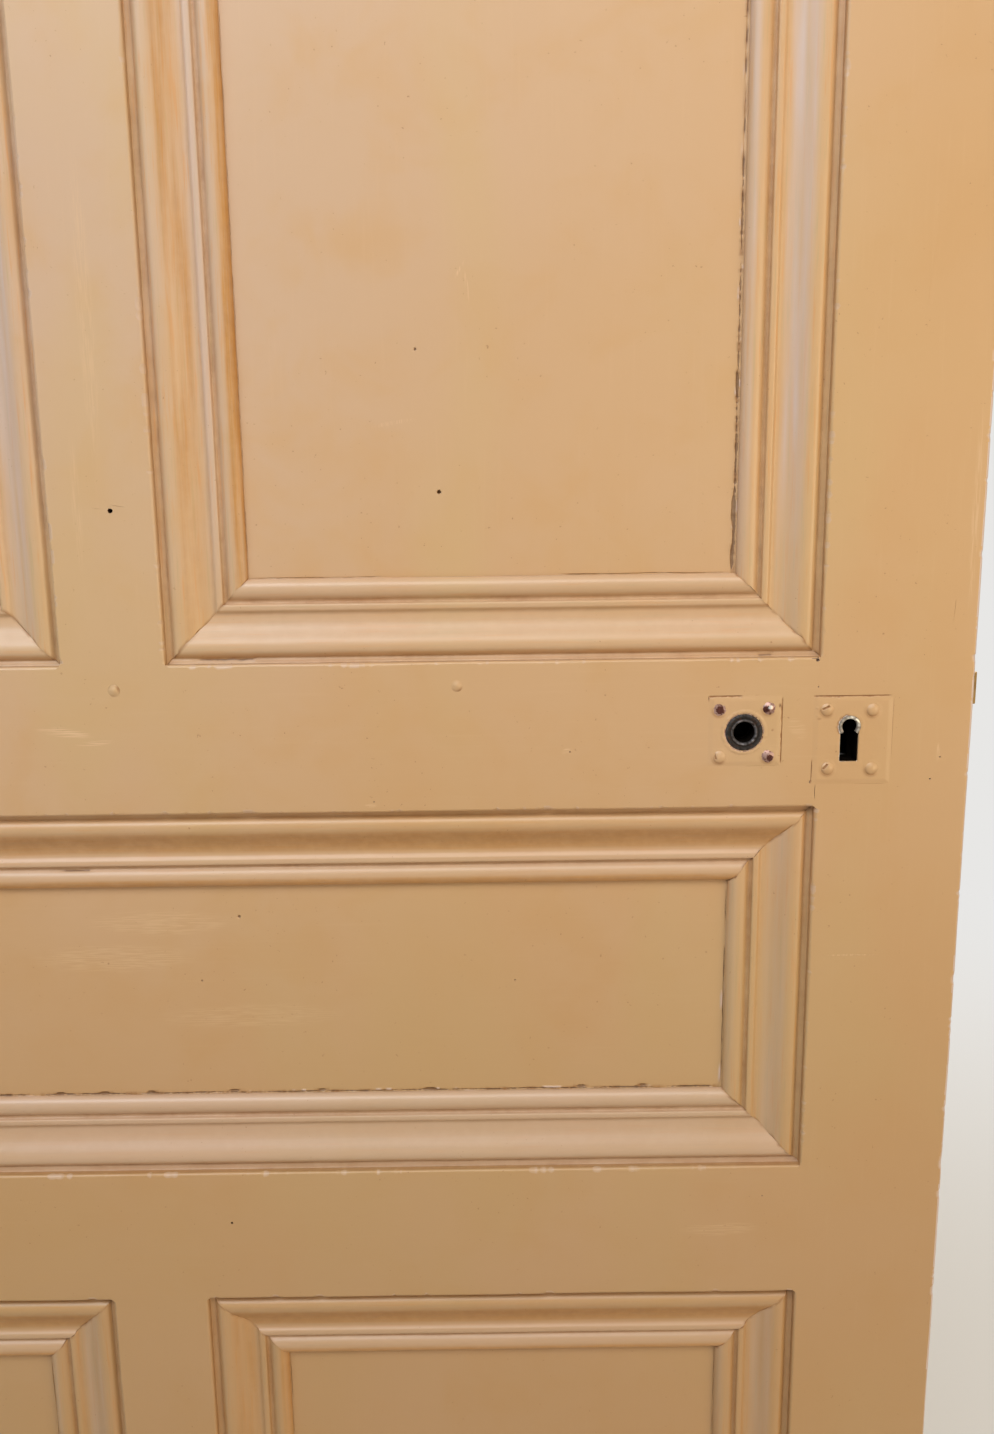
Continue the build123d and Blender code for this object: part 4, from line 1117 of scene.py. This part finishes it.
# each screw: place, how much of its head stands up, how bare of paint it is, the part of its slot that
# paint hasn't filled (offset, half length, half width, turn in degrees), and a rusty spot (offset, radius)
KNOB_SCREWS = (
    (322.0, 976.9, 0.30, 0.8, (0.2, -0.1, 1.0, 0.5, 70.0), (0.1, -0.1, 1.9)),
    (348.3, 977.4, 1.0, 0.9, (-1.3, -0.2, 1.6, 0.35, 62.0), (-1.9, -0.5, 1.4)),
    (322.3, 951.0, 0.9, 0.0, (-2.2, 0.6, 1.5, 0.34, 104.0), None),
    (348.4, 951.2, 0.9, 0.8, (0.9, -0.6, 1.2, 0.5, 60.0), (1.0, -0.7, 1.6)),
)
KEY_SCREWS = (
    (379.4, 976.1, 1.0, 0.0, (-0.8, 1.3, 2.1, 0.46, 27.0), None), (403.8, 975.8, 1.0, 0.0, None, None),
    (380.8, 944.0, 1.0, 0.0, (-1.5, 1.1, 1.7, 0.52, 50.0), None), (404.4, 943.6, 0.95, 0.0, None, None),
)
# each break in the paint along an edge: side, start and end as shares of it, width, depth and darkness
KNOB_BREAKS = (
    ("top", -0.02, 0.47, 1.15, 0.50, 0.34), ("left", 0.90, 1.02, 0.70, 0.40, 0.60),
    ("right", 0.03, 0.98, 0.85, 0.34, 0.28), ("right", 0.74, 0.90, 1.10, 0.35, 0.45),
    ("top", 0.60, 0.68, 0.50, 0.14, 0.0), ("bottom", 0.50, 0.95, 0.50, 0.08, 0.0),
)
KEY_BREAKS = (
    ("top", -0.02, 0.42, 1.25, 0.55, 0.36), ("top", 0.30, 0.98, 1.05, 0.48, 0.30),
    ("right", 0.30, 0.97, 0.50, 0.10, 0.0), ("left", 0.0, 0.30, 0.60, 0.40, 0.55),
    ("bottom", 0.50, 0.95, 0.40, 0.08, 0.0),
)
# chips and dents in the paint on the plates: place, half width, half height, depth, darkness
CHIPS = {
    "knob_plate": ((354.2, 978.6, 0.7, 1.2, 0.30, 0.6), (350.4, 965.5, 0.6, 0.5, 0.20, 0.35)),
    "key_plate": (
        (374.3, 977.2, 0.9, 0.7, -0.22, 0.0), (374.6, 972.9, 0.8, 0.6, -0.20, 0.0),
        (376.1, 975.4, 0.5, 1.4, 0.20, 0.35), (375.4, 971.2, 1.0, 0.5, 0.12, 0.2),
    ),
}


def keyhole_away(x, z):
    # distance from the keyhole's outline, negative inside it
    round_part = math.hypot(x - KEY[0], z - KEY[1]) - ROUND_R
    dx, dz = abs(x - KEY[0]) - SLOT_HALF, max(SLOT_FOOT - z, z - KEY[1])
    slot_part = max(dx, dz) if dx < 0 or dz < 0 else math.hypot(dx, dz)
    return min(round_part, slot_part)


def plate_mesh(node, breaks, screws, hole, lip):
    # the plate's painted face as a fine grid: flush at its edges, swollen round the hole and the screws
    x0, x1, z0, z1 = box_of(node)
    seed = x0 * 0.1
    close_x = [(x0 + 0.65, 0.6, 0.12), (x1 - 0.65, 0.6, 0.12)]
    close_z = [(z0 + 0.65, 0.6, 0.12), (z1 - 0.65, 0.6, 0.12)]
    if node == "key_plate":
        close_x += [(KEY[0] - SLOT_HALF - 0.3, 0.7, 0.14), (KEY[0] + SLOT_HALF + 0.3, 0.7, 0.14)]
        close_z += [(SLOT_FOOT - 0.3, 0.7, 0.14)]
    xs = marks(x0 + 0.01, x1 - 0.01, 0.40, close_x)
    zs = marks(z0 + 0.01, z1 - 0.01, 0.40, close_z)
    points, told = [], {"crack": [], "grimy_shade": [], "bare": [], "polish_and_glint": []}
    for z in zs:
        for x in xs:
            away = {
                "left": (x - x0, (z - z0) / (z1 - z0)), "right": (x1 - x, (z - z0) / (z1 - z0)),
                "bottom": (z - z0, (x - x0) / (x1 - x0)), "top": (z1 - z, (x - x0) / (x1 - x0)),
            }
            near = min(pair[0] for pair in away.values())
            y = lump(x, z) - 0.40 * ease(near / 3.4) * (0.9 + 0.2 * wave(x / 8, z / 8, seed))
            y += 0.05 * wave(x / 6, z / 6, seed) + 0.02 * wave(x / 1.9, z / 1.9, seed + 3)
            deep = dark = soft = 0.0
            for side, start, end, width, depth, darkness in breaks:
                off, share = away[side]
                inside = min(share - start, end - share)
                if inside > 0 and off < 2.4:
                    ragged = 0.85 + 0.6 * wave(share * 12, seed + 5) + 0.3 * wave(share * 40, seed + 8)
                    wide = width * ragged
                    gap = ease(inside / 0.06) * max(0.0, 1 - (off / max(0.15, wide)) ** 3) ** 0.6
                    deep = max(deep, gap * depth)
                    dark = max(dark, gap * darkness)
                    # a soft band of painted shadow along the break
                    soft = max(soft, gap * min(0.9, 3.0 * depth))
            for sx, sz, *_ in screws:
                ring = math.hypot(x - sx, z - sz) - 3.5
                if -1.2 < ring < 1.6:
                    y -= 0.14 * (1 - (ring / 1.6) ** 2) * (1 + 0.8 * wave(x, z, seed))
                    # painted shade on the plate below and to the left of the head
                    under = ease(1 - abs(ring - 0.2) / 1.3) * max(0.0, (sx - x) * 0.5 + (sz - z) * 0.85) / 3.5
                    soft = max(soft, 0.55 * under)
            off_hole = hole(x, z)
            if 0 < off_hole < 2.2:
                swell = math.sin(math.pi * min(1, off_hole / 2.2)) ** 0.7
                y -= lip * (1 + 0.9 * wave(x / 1.7, z / 1.7, seed + 4)) * swell
            for cx, cz, wide, tall, depth, darkness in CHIPS[node]:
                reach = math.hypot((x - cx) / wide, (z - cz) / tall) + 0.3 * wave(x, z, cx)
                deep += depth * ease(1.4 - reach)
                dark = max(dark, darkness * ease(1.35 - reach))
                soft = max(soft, 0.6 * ease(1.6 - reach) if depth > 0 else 0.0)
            rubbed = shine = 0.0
            if node == "key_plate" and 0 < off_hole < 2.5:
                left = ease((KEY[0] - x) / 2.0)
                if z > KEY[1] - 4:
                    # darker along the left of the keyhole's round
                    dark_left_of_round = ease(1.4 - off_hole / 1.2 + 0.4 * wave(x / 1.3, z / 1.3, 6.0))
                    soft = max(soft, 0.8 * left * dark_left_of_round)
                    rubbed = left * ease(1.2 - off_hole / 0.6 + 0.6 * wave(x / 1.1, z / 1.1, 6.0))
                    shine = 0.4 * rubbed
                else:
                    # painted highlight along the slot's edges, most at the left and at its foot
                    edge = ease(1.3 - off_hole / 0.28 + 0.8 * wave(x / 1.5, z / 1.5, 6.0))
                    shine = edge * max(0.3 * left, 0.15 * ease((SLOT_FOOT + 0.2 - z) / 0.2), 0.08)
            elif node == "knob_plate" and 0 < off_hole < 0.8:
                rubbed = ease(1.1 - off_hole / 0.4 + 0.8 * wave(x, z, 6.0))
            points.append(spot(x, y + deep, z))
            for key, value in (("crack", dark), ("grimy_shade", soft), ("bare", rubbed), ("polish_and_glint", shine)):
                told[key].append(value)
    made = slab_mesh(node + "_relief", xs, zs, points, PLATE_BACK - 0.02)
    dab(made.data, told)
    return made


def round_cutter(name, x, z, radius, y0, y1, turns=48):
    # a round bar across the plate, as the shape of a hole
    ring = []
    for i in range(turns):
        t = i * 2 * math.pi / turns
        ring.append((x + radius * math.cos(t), z + radius * math.sin(t)))
    return loft(name, [[spot(a, y, b) for a, b in ring] for y in (y0, y1)])


def slot_cutter(name, y0, y1):
    # the keyhole's slot under its round, with two rounded corners at its foot
    corner = 0.9
    left, right = KEY[0] - SLOT_HALF, KEY[0] + SLOT_HALF
    outline = [(right, KEY[1]), (left, KEY[1])]
    for i in range(5):
        t = math.pi + i * math.pi / 8
        outline.append((left + corner + corner * math.cos(t), SLOT_FOOT + corner + corner * math.sin(t)))
    for i in range(5):
        t = 1.5 * math.pi + i * math.pi / 8
        outline.append((right - corner + corner * math.cos(t), SLOT_FOOT + corner + corner * math.sin(t)))
    return loft(name, [[spot(a, y, b) for a, b in outline] for y in (y0, y1)])


iron_paint = painted("iron_paint", "x", bare=True)


def bush_away(x, z):
    # distance from the bush's outline, negative inside it
    return math.hypot(x - SPINDLE[0], z - SPINDLE[1]) - BUSH_R


knob_plate = plate_mesh("knob_plate", KNOB_BREAKS, KNOB_SCREWS, bush_away, 0.30)
cut(knob_plate, round_cutter("bush_hole", *SPINDLE, 7.7, *HOLE_ENDS))
key_plate = plate_mesh("key_plate", KEY_BREAKS, KEY_SCREWS, keyhole_away, 0.08)
cut(key_plate, round_cutter("key_round", *KEY, ROUND_R, *HOLE_ENDS))
cut(key_plate, slot_cutter("key_slot", *HOLE_ENDS))
for piece, node in ((knob_plate, "knob_plate"), (key_plate, "key_plate")):
    shade(piece.data, 55.0)
    piece.data.materials.clear()
    piece.data.materials.append(iron_paint)
    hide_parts(node)
    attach(piece, "leaf")

# Round-headed wood screws of the plates, four each. Some slots are choked with paint, some heads
# have lost theirs and rusted.

# a screw's head radius, the rise of its dome, its shank's radius and its length
HEAD_R = 3.5
DOME_H = 1.32
SHANK_R = 1.7
SCREW_LEN = 11.0


class Recipe:
    # a geometry tree with named sizes
    def __init__(self, name, sizes):
        self.tree = bpy.data.node_groups.new(name, "GeometryNodeTree")
        table = self.tree.interface
        table.new_socket("Geometry", in_out="INPUT", socket_type="NodeSocketGeometry")
        table.new_socket("Geometry", in_out="OUTPUT", socket_type="NodeSocketGeometry")
        self.keys = {}
        for key, (kind, _) in sizes.items():
            made = table.new_socket(key, in_out="INPUT", socket_type=kind)
            self.keys[key] = made.identifier
        self.sizes = sizes
        self.start = self.tree.nodes.new("NodeGroupInput")
        self.end = self.tree.nodes.new("NodeGroupOutput")

    def node(self, kind, settings=None, sockets=None, out=0):
        made = self.tree.nodes.new(kind)
        for key, value in (settings or {}).items():
            setattr(made, key, value)
        for key, value in (sockets or {}).items():
            for one in value if isinstance(value, list) else [value]:
                if isinstance(one, bpy.types.NodeSocket):
                    self.tree.links.new(one, made.inputs[key])
                else:
                    made.inputs[key].default_value = one
        return made.outputs[out]

    def maths(self, operation, *values):
        return self.node("ShaderNodeMath", {"operation": operation}, dict(enumerate(values)))

    def size(self, key):
        return self.start.outputs[key]

    def field(self, name):
        return self.node("GeometryNodeInputNamedAttribute", {"data_type": "FLOAT"}, {"Name": name})

    def make(self, piece):
        # run the tree on the piece and keep what comes out as its plain mesh
        step = piece.modifiers.new(self.tree.name, "NODES")
        step.node_group = self.tree
        for key, (_, value) in self.sizes.items():
            step[self.keys[key]] = value
        settle(piece)


def screw_recipe():
    # a domed head on a tapering shank, set at every point and swollen unevenly by its paint
    number = "NodeSocketFloat"
    r = Recipe("round_headed_screws", {
        "Head radius": (number, HEAD_R * MM), "Dome height": (number, DOME_H * MM),
        "Shank radius": (number, SHANK_R * MM), "Length": (number, SCREW_LEN * MM),
        "Softness": (number, 2.1), "Paint lumps": (number, 0.2 * MM), "Lump scale": (number, 420.0),
        "Finish": ("NodeSocketMaterial", iron_paint),
    })
    ball = r.node("GeometryNodeMeshUVSphere", None, {"Segments": 80, "Rings": 56, "Radius": 1.0})
    split = r.node("ShaderNodeSeparateXYZ", None, {0: r.node("GeometryNodeInputPosition")}).node.outputs
    above = r.maths("POWER", r.maths("MAXIMUM", split[2], 0.0), r.size("Softness"))
    below = r.maths("MAXIMUM", r.maths("MINIMUM", split[2], 0.0), -0.12)
    rise = r.maths("MULTIPLY", r.maths("ADD", above, below), r.size("Dome height"))
    wide = [r.maths("MULTIPLY", split[i], r.size("Head radius")) for i in range(2)]
    shape = r.node("ShaderNodeCombineXYZ", None, {0: wide[0], 1: wide[1], 2: rise})
    dome = r.node("GeometryNodeSetPosition", None, {"Geometry": ball, "Position": shape})
    rod = r.node("GeometryNodeMeshCone", None, {
        "Vertices": 20, "Radius Top": r.maths("MULTIPLY", r.size("Shank radius"), 0.15),
        "Radius Bottom": r.size("Shank radius"), "Depth": r.size("Length"),
    })
    rod = r.node("GeometryNodeTransform", None, {"Geometry": rod, "Rotation": (math.pi, 0, 0)})
    screw = r.node("GeometryNodeJoinGeometry", None, {0: [dome, rod]})
    upright = r.node("FunctionNodeEulerToRotation", None, {0: (math.pi / 2, 0, 0)})
    grow = r.node("ShaderNodeCombineXYZ", None, {0: 1.0, 1: 1.0, 2: r.field("rise")})
    every = r.node("GeometryNodeInstanceOnPoints", None, {
        "Points": r.size("Geometry"), "Instance": screw, "Rotation": upright, "Scale": grow,
    })
    every = r.node("GeometryNodeRealizeInstances", None, {0: every})
    blob = r.node("ShaderNodeTexNoise", None, {"Scale": r.size("Lump scale"), "Detail": 2.0})
    push = r.maths("MULTIPLY", r.maths("SUBTRACT", blob, 0.5), r.size("Paint lumps"))
    push = r.node("ShaderNodeVectorMath", {"operation": "SCALE"}, {
        0: r.node("GeometryNodeInputNormal"), "Scale": push,
    })
    every = r.node("GeometryNodeSetPosition", None, {"Geometry": every, "Offset": push})
    every = r.node("GeometryNodeSetMaterial", None, {"Geometry": every, "Material": r.size("Finish")})
    r.tree.links.new(every, r.end.inputs[0])
    return r


def along_slit(slit, dx, dz):
    # 1 in the open part of a slot, 0 outside it
    if not slit:
        return 0.0
    ox, oz, half_long, half_wide, turn = slit
    c, d = math.cos(math.radians(turn)), math.sin(math.radians(turn))
    a, b = (dx - ox) * c + (dz - oz) * d, -(dx - ox) * d + (dz - oz) * c
    ragged = 0.25 * wave(dx * 1.5, dz * 1.5, turn)
    return ease((1.15 + ragged - abs(a) / half_long) / 0.25) * ease((1.3 + ragged - abs(b) / half_wide) / 0.5)


screws_recipe = screw_recipe()
for node, screws in (("knob_plate_screws", KNOB_SCREWS), ("key_plate_screws", KEY_SCREWS)):
    piece = mesh_object(node + "_heads", [spot(x, PLATE_FACE, z) for x, z, *_ in screws], [])
    dab(piece.data, {"rise": [screw[2] for screw in screws]})
    screws_recipe.make(piece)
    told = {"crack": [], "grimy_shade": [], "bare": [], "rust": [], "polish_and_glint": []}
    for vertex in piece.data.vertices:
        x, y, z = vertex.co.x / MM - MIDDLE_X, vertex.co.y / MM - FACE_Y, vertex.co.z / MM
        sx, sz, rise, bare, slit, rust = min(screws, key=lambda s: math.hypot(x - s[0], z - s[1]))
        dx, dz = x - sx, z - sz
        away = math.hypot(dx, dz) / HEAD_R
        slot = along_slit(slit, dx, dz) if y < PLATE_FACE + 0.15 and away < 1.02 else 0.0
        vertex.co.y += 0.55 * rise * slot * MM
        told["crack"].append(slot * (1.0 if bare else 0.34))
        # painted shade round the lower left of each head
        below = max(0.0, (-0.45 * dx - 0.9 * dz) / HEAD_R)
        shaded = (0.4 if bare else 0.75) * ease((away - 0.55) / 0.35) * below
        told["grimy_shade"].append(max(0.0 if bare else slot, shaded))
        told["bare"].append(bare * ease((1.02 - away + 0.25 * wave(dx, dz, sx)) / 0.12))
        # painted highlight, up and to the right, on the barest heads
        glint = ease(1.2 - math.hypot(dx - 0.6, dz - 0.8) / 1.7 + 0.5 * wave(dx * 1.4, dz * 1.4, sx))
        told["polish_and_glint"].append(0.36 * glint if bare > 0.85 else 0.0)
        if rust:
            reach = math.hypot(dx - rust[0], dz - rust[1]) / rust[2] + 0.35 * wave(dx, dz, 3.0)
            told["rust"].append(ease(1.5 - reach))
        else:
            told["rust"].append(0.0)
    dab(piece.data, told)
    shade(piece.data, 60.0)
    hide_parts(node)
    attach(piece, "leaf")

# Bush and collar: the worn iron bush that the knob's spindle turns in, and the split steel collar
# in the round of the keyhole.

# (radius, depth behind the door's face, how bright it is rubbed)
BUSH_SECTION = (
    (5.6, 11.2, 0.0), (5.6, 3.0, 0.0), (5.62, 0.4, 0.05), (5.75, -0.35, 0.35), (6.0, -0.9, 0.6),
    (6.35, -1.2, 0.7), (6.75, -1.25, 0.6), (7.05, -1.1, 0.3), (7.3, -0.8, 0.0), (7.6, -0.72, 0.0),
    (8.1, -0.9, 0.05), (8.7, -1.0, 0.12), (9.2, -0.95, 0.22), (9.6, -0.75, 0.3), (9.9, -0.45, 0.3),
    (10.1, -0.1, 0.1), (10.05, 0.3, 0.0), (7.55, 0.32, 0.0), (7.55, 11.2, 0.0),
)


def turned(name, centre, section, start=0.0, end=2 * math.pi, steps=96, rough=0.05, worn=None):
    # a ring with the given section of (radius, depth, polish), whole or split; given a side, its bright rims
    # carry a painted highlight there
    whole = end - start > 2 * math.pi - 1e-6
    rings, shine = [], []
    count = steps if whole else steps + 1
    for i in range(count):
        t = start + (end - start) * i / steps
        ring = []
        for radius, y, polish_and_glint in section:
            dent = rough * wave(math.cos(t) * radius / 2.2, math.sin(t) * radius / 2.2, y / 2 + 3)
            dent += 0.6 * rough * wave(math.cos(t) * radius / 0.7, math.sin(t) * radius / 0.7, y + 9)
            r, deep = radius + dent * 0.5, y + (dent if y < 1 else 0)
            ring.append(spot(centre[0] + r * math.cos(t), deep, centre[1] + r * math.sin(t)))
            # painted highlight: the rims brightest towards the given side
            side = 1.0 if worn is None else 0.25 + 0.75 * max(0.0, math.cos(t - worn)) ** 2
            patchy = 0.8 + 0.6 * wave(math.cos(t) * 3, math.sin(t) * 3, radius)
            patchy += 1.5 * wave(math.cos(t) * radius * 0.75, math.sin(t) * radius * 0.75, 4.0)
            shine.append(max(0.0, min(1.0, side * polish_and_glint * patchy)))
        rings.append(ring)
    points = [p for ring in rings for p in ring]
    n = len(section)
    faces = []
    for i in range(count if whole else count - 1):
        a, b = i * n, ((i + 1) % count) * n
        for j in range(n):
            k = (j + 1) % n
            faces.append((a + j, a + k, b + k, b + j))
    if not whole:
        faces.append(tuple(range(n))[::-1])
        faces.append(tuple((count - 1) * n + j for j in range(n)))
    made = mesh_object(name, points, faces)
    outwards(made.data)
    dab(made.data, {"polish_and_glint": shine})
    shade(made.data, 48.0)
    return made


def handled(name, dark, bright, rust, specular):
    # bare iron, dark where dirt lies, bright on its rubbed rims and where a highlight is painted
    finish = Finish(name)
    finish.shader.inputs["Specular IOR Level"].default_value = specular
    flat = finish.place()
    patch = finish.cloud(flat, 500.0, 4.0, 0.65, 0.6)
    fine = finish.cloud(flat, 2600.0, 3.0, 0.6)
    polish_and_glint = (finish.mark("polish_and_glint") * (patch.step(0.25, 0.6, 0.5, 1.0))).least(1.0)
    colour = finish.mix(patch.step(0.5, 0.72), dark, rust)
    finish.give("Base Color", finish.mix(polish_and_glint, colour, bright))
    finish.give("Metallic", polish_and_glint * 0.8)
    finish.give("Roughness", 0.46 - polish_and_glint * 0.16 + fine * 0.12)
    finish.give("Normal", finish.bump(fine + patch * 1.5, 0.6, 0.0002))
    return finish.material


bush = turned("knob_bush_turned", SPINDLE, BUSH_SECTION, rough=0.16)
bush.data.materials.append(handled("worn_iron", srgb(36, 31, 27), srgb(118, 112, 112), srgb(66, 42, 30), 0.1))
# the bore's inside takes the near black of painted shade and old grease
bush.data.materials.append(hole_shade_and_grease)
for face in bush.data.polygons:
    place = face.center - spot(SPINDLE[0], 0, SPINDLE[1])
    face.material_index = int(place.y > 0.4 * MM and math.hypot(place.x, place.z) < 6.6 * MM)
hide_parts("knob_bush")
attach(bush, "leaf")

COLLAR_SECTION = (
    (4.1, 1.9, 0.0), (4.1, -0.25, 0.7), (4.3, -0.55, 1.0), (4.9, -0.68, 1.0), (5.5, -0.6, 0.8),
    (5.8, -0.3, 0.4), (5.8, 1.2, 0.0), (6.9, 1.25, 0.0), (6.9, 1.95, 0.0),
)
split_start, split_end, glint_side = math.radians(-42), math.radians(222), math.radians(50)
collar = turned("key_collar_split", KEY, COLLAR_SECTION, split_start, split_end, 72, 0.15, glint_side)
collar_steel = handled("rubbed_steel_with_glint", srgb(122, 110, 96), srgb(232, 224, 208), srgb(132, 94, 66), 0.4)
collar.data.materials.append(collar_steel)
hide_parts("key_collar")
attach(collar, "leaf")

# Hinges: three iron butts, let into the hinge stile and painted with the door. Their loose steel
# pins and their screws are bare.

hinge_paint = painted("hinge_paint", "z")
for name in nodes:
    if "hinge_" in name and name != "hinge_stile":
        nodes[name].data.materials.clear()
        nodes[name].data.materials.append(hinge_paint if "flap" in name else finishes["bright_steel"])

# Floor, room and lamps: one pale sheet under the door, in a pale room with four soft lamps. Far
# from the door the camera and mirroring metal see an even glow in the floor's place, so its edge
# never shows.

FLOOR_REACH = 14.0
UNDER_DOOR = -0.0005
corners = [(a * FLOOR_REACH, b * FLOOR_REACH, UNDER_DOOR) for a, b in ((-1, -1), (1, -1), (1, 1), (-1, 1))]
floor = mesh_object("floor", corners, [(0, 1, 2, 3)])
PALE = srgb(232, 231, 229)


def looked_at(finish):
    # 1 for what the camera sees, straight or in a mirroring or clear surface, and 0 for stray light
    paths = finish.node("ShaderNodeLightPath").socket.node.outputs
    straight, mirrored, through = [
        Wire(finish, paths[kind]) for kind in ("Is Camera Ray", "Is Glossy Ray", "Is Transmission Ray")
    ]
    return straight.most(mirrored).most(through)


def blend(finish, amount, glow, output):
    # the finish's own shader, giving way to a plain glow
    own = Wire(finish, finish.shader.outputs[0])
    both = finish.node("ShaderNodeMixShader", None, {0: amount, 1: own, 2: glow})
    finish.tree.links.new(both.socket, finish.tree.nodes[output].inputs[0])


pale = Finish("pale_floor")
pale.shader.inputs["Roughness"].default_value = 0.9
pale.shader.inputs["Base Color"].default_value = srgb(228, 223, 215)
across, behind, _ = pale.parts(pale.node("ShaderNodeTexCoord", out="Object"))
far = (across * across + behind * behind).power(0.5).step(0.8, 2.8)
glow = pale.node("ShaderNodeEmission", None, {"Color": PALE, "Strength": 1.0})
blend(pale, far * looked_at(pale), glow, "Material Output")
floor.data.materials.append(pale.material)

room = Finish("pale_room", "worlds", "Background")
room.shader.inputs["Color"].default_value = srgb(236, 236, 238)
room.shader.inputs["Strength"].default_value = 0.03
glow = room.node("ShaderNodeBackground", None, {"Color": PALE, "Strength": 1.0})
blend(room, looked_at(room), glow, "World Output")
bpy.context.scene.world = room.material


def lamp(name, place, aim, wide, tall, power, colour):
    data = bpy.data.lights.new(name, "AREA")
    data.shape = "RECTANGLE"
    data.size, data.size_y = wide, tall
    data.energy = power
    data.color = colour
    made = bpy.data.objects.new(name, data)
    bpy.context.scene.collection.objects.link(made)
    made.location = place
    made.rotation_mode = "QUATERNION"
    made.rotation_quaternion = (Vector(aim) - Vector(place)).to_track_quat("-Z", "Y")
    return made


lamp("front_light", (0.3, -2.0, 3.2), (0.1, 0, 1.2), 2.4, 1.4, 50.0, (1.0, 0.98, 0.94))
lamp("left_light", (-1.3, -1.6, 3.0), (0.1, 0, 1.1), 1.8, 1.4, 47.0, (0.72, 0.86, 1.0))
lamp("right_light", (2.6, -1.9, 1.0), (0.1, 0, 0.9), 1.6, 2.0, 37.0, (1.0, 0.84, 0.55))
lamp("back_light", (0.6, 3.2, 2.4), (0, 0, 1.0), 2.2, 2.2, 105.0, (1.0, 0.98, 0.95))

# The view: the photograph was taken by hand from about 0.6 m, a little right of the middle,
# looking slightly down at the lock rail.

# where the lens stood, and how it was turned, in radians
EYE = spot(202.2, -602.5, 1091.5)
PITCH, YAW, ROLL = 0.1917, 0.0016, 0.0126
FOCAL_PX, TALL_PX = 1150.0, 1434.0
SENSOR = 36.0
camera_data = bpy.data.cameras.new("view")
camera_data.sensor_width = SENSOR
camera_data.lens = SENSOR * FOCAL_PX / TALL_PX
camera_data.clip_start, camera_data.clip_end = 0.01, 60.0
camera = bpy.data.objects.new("view", camera_data)
bpy.context.scene.collection.objects.link(camera)
aim = Matrix.Rotation(-YAW, 4, "Z") @ Matrix.Rotation(math.pi / 2 - PITCH, 4, "X")
turn = aim @ Matrix.Rotation(-ROLL, 4, "Z")
camera.matrix_world = Matrix.Translation(EYE) @ turn
bpy.context.scene.camera = camera
bpy.context.scene.view_settings.view_transform = "Standard"
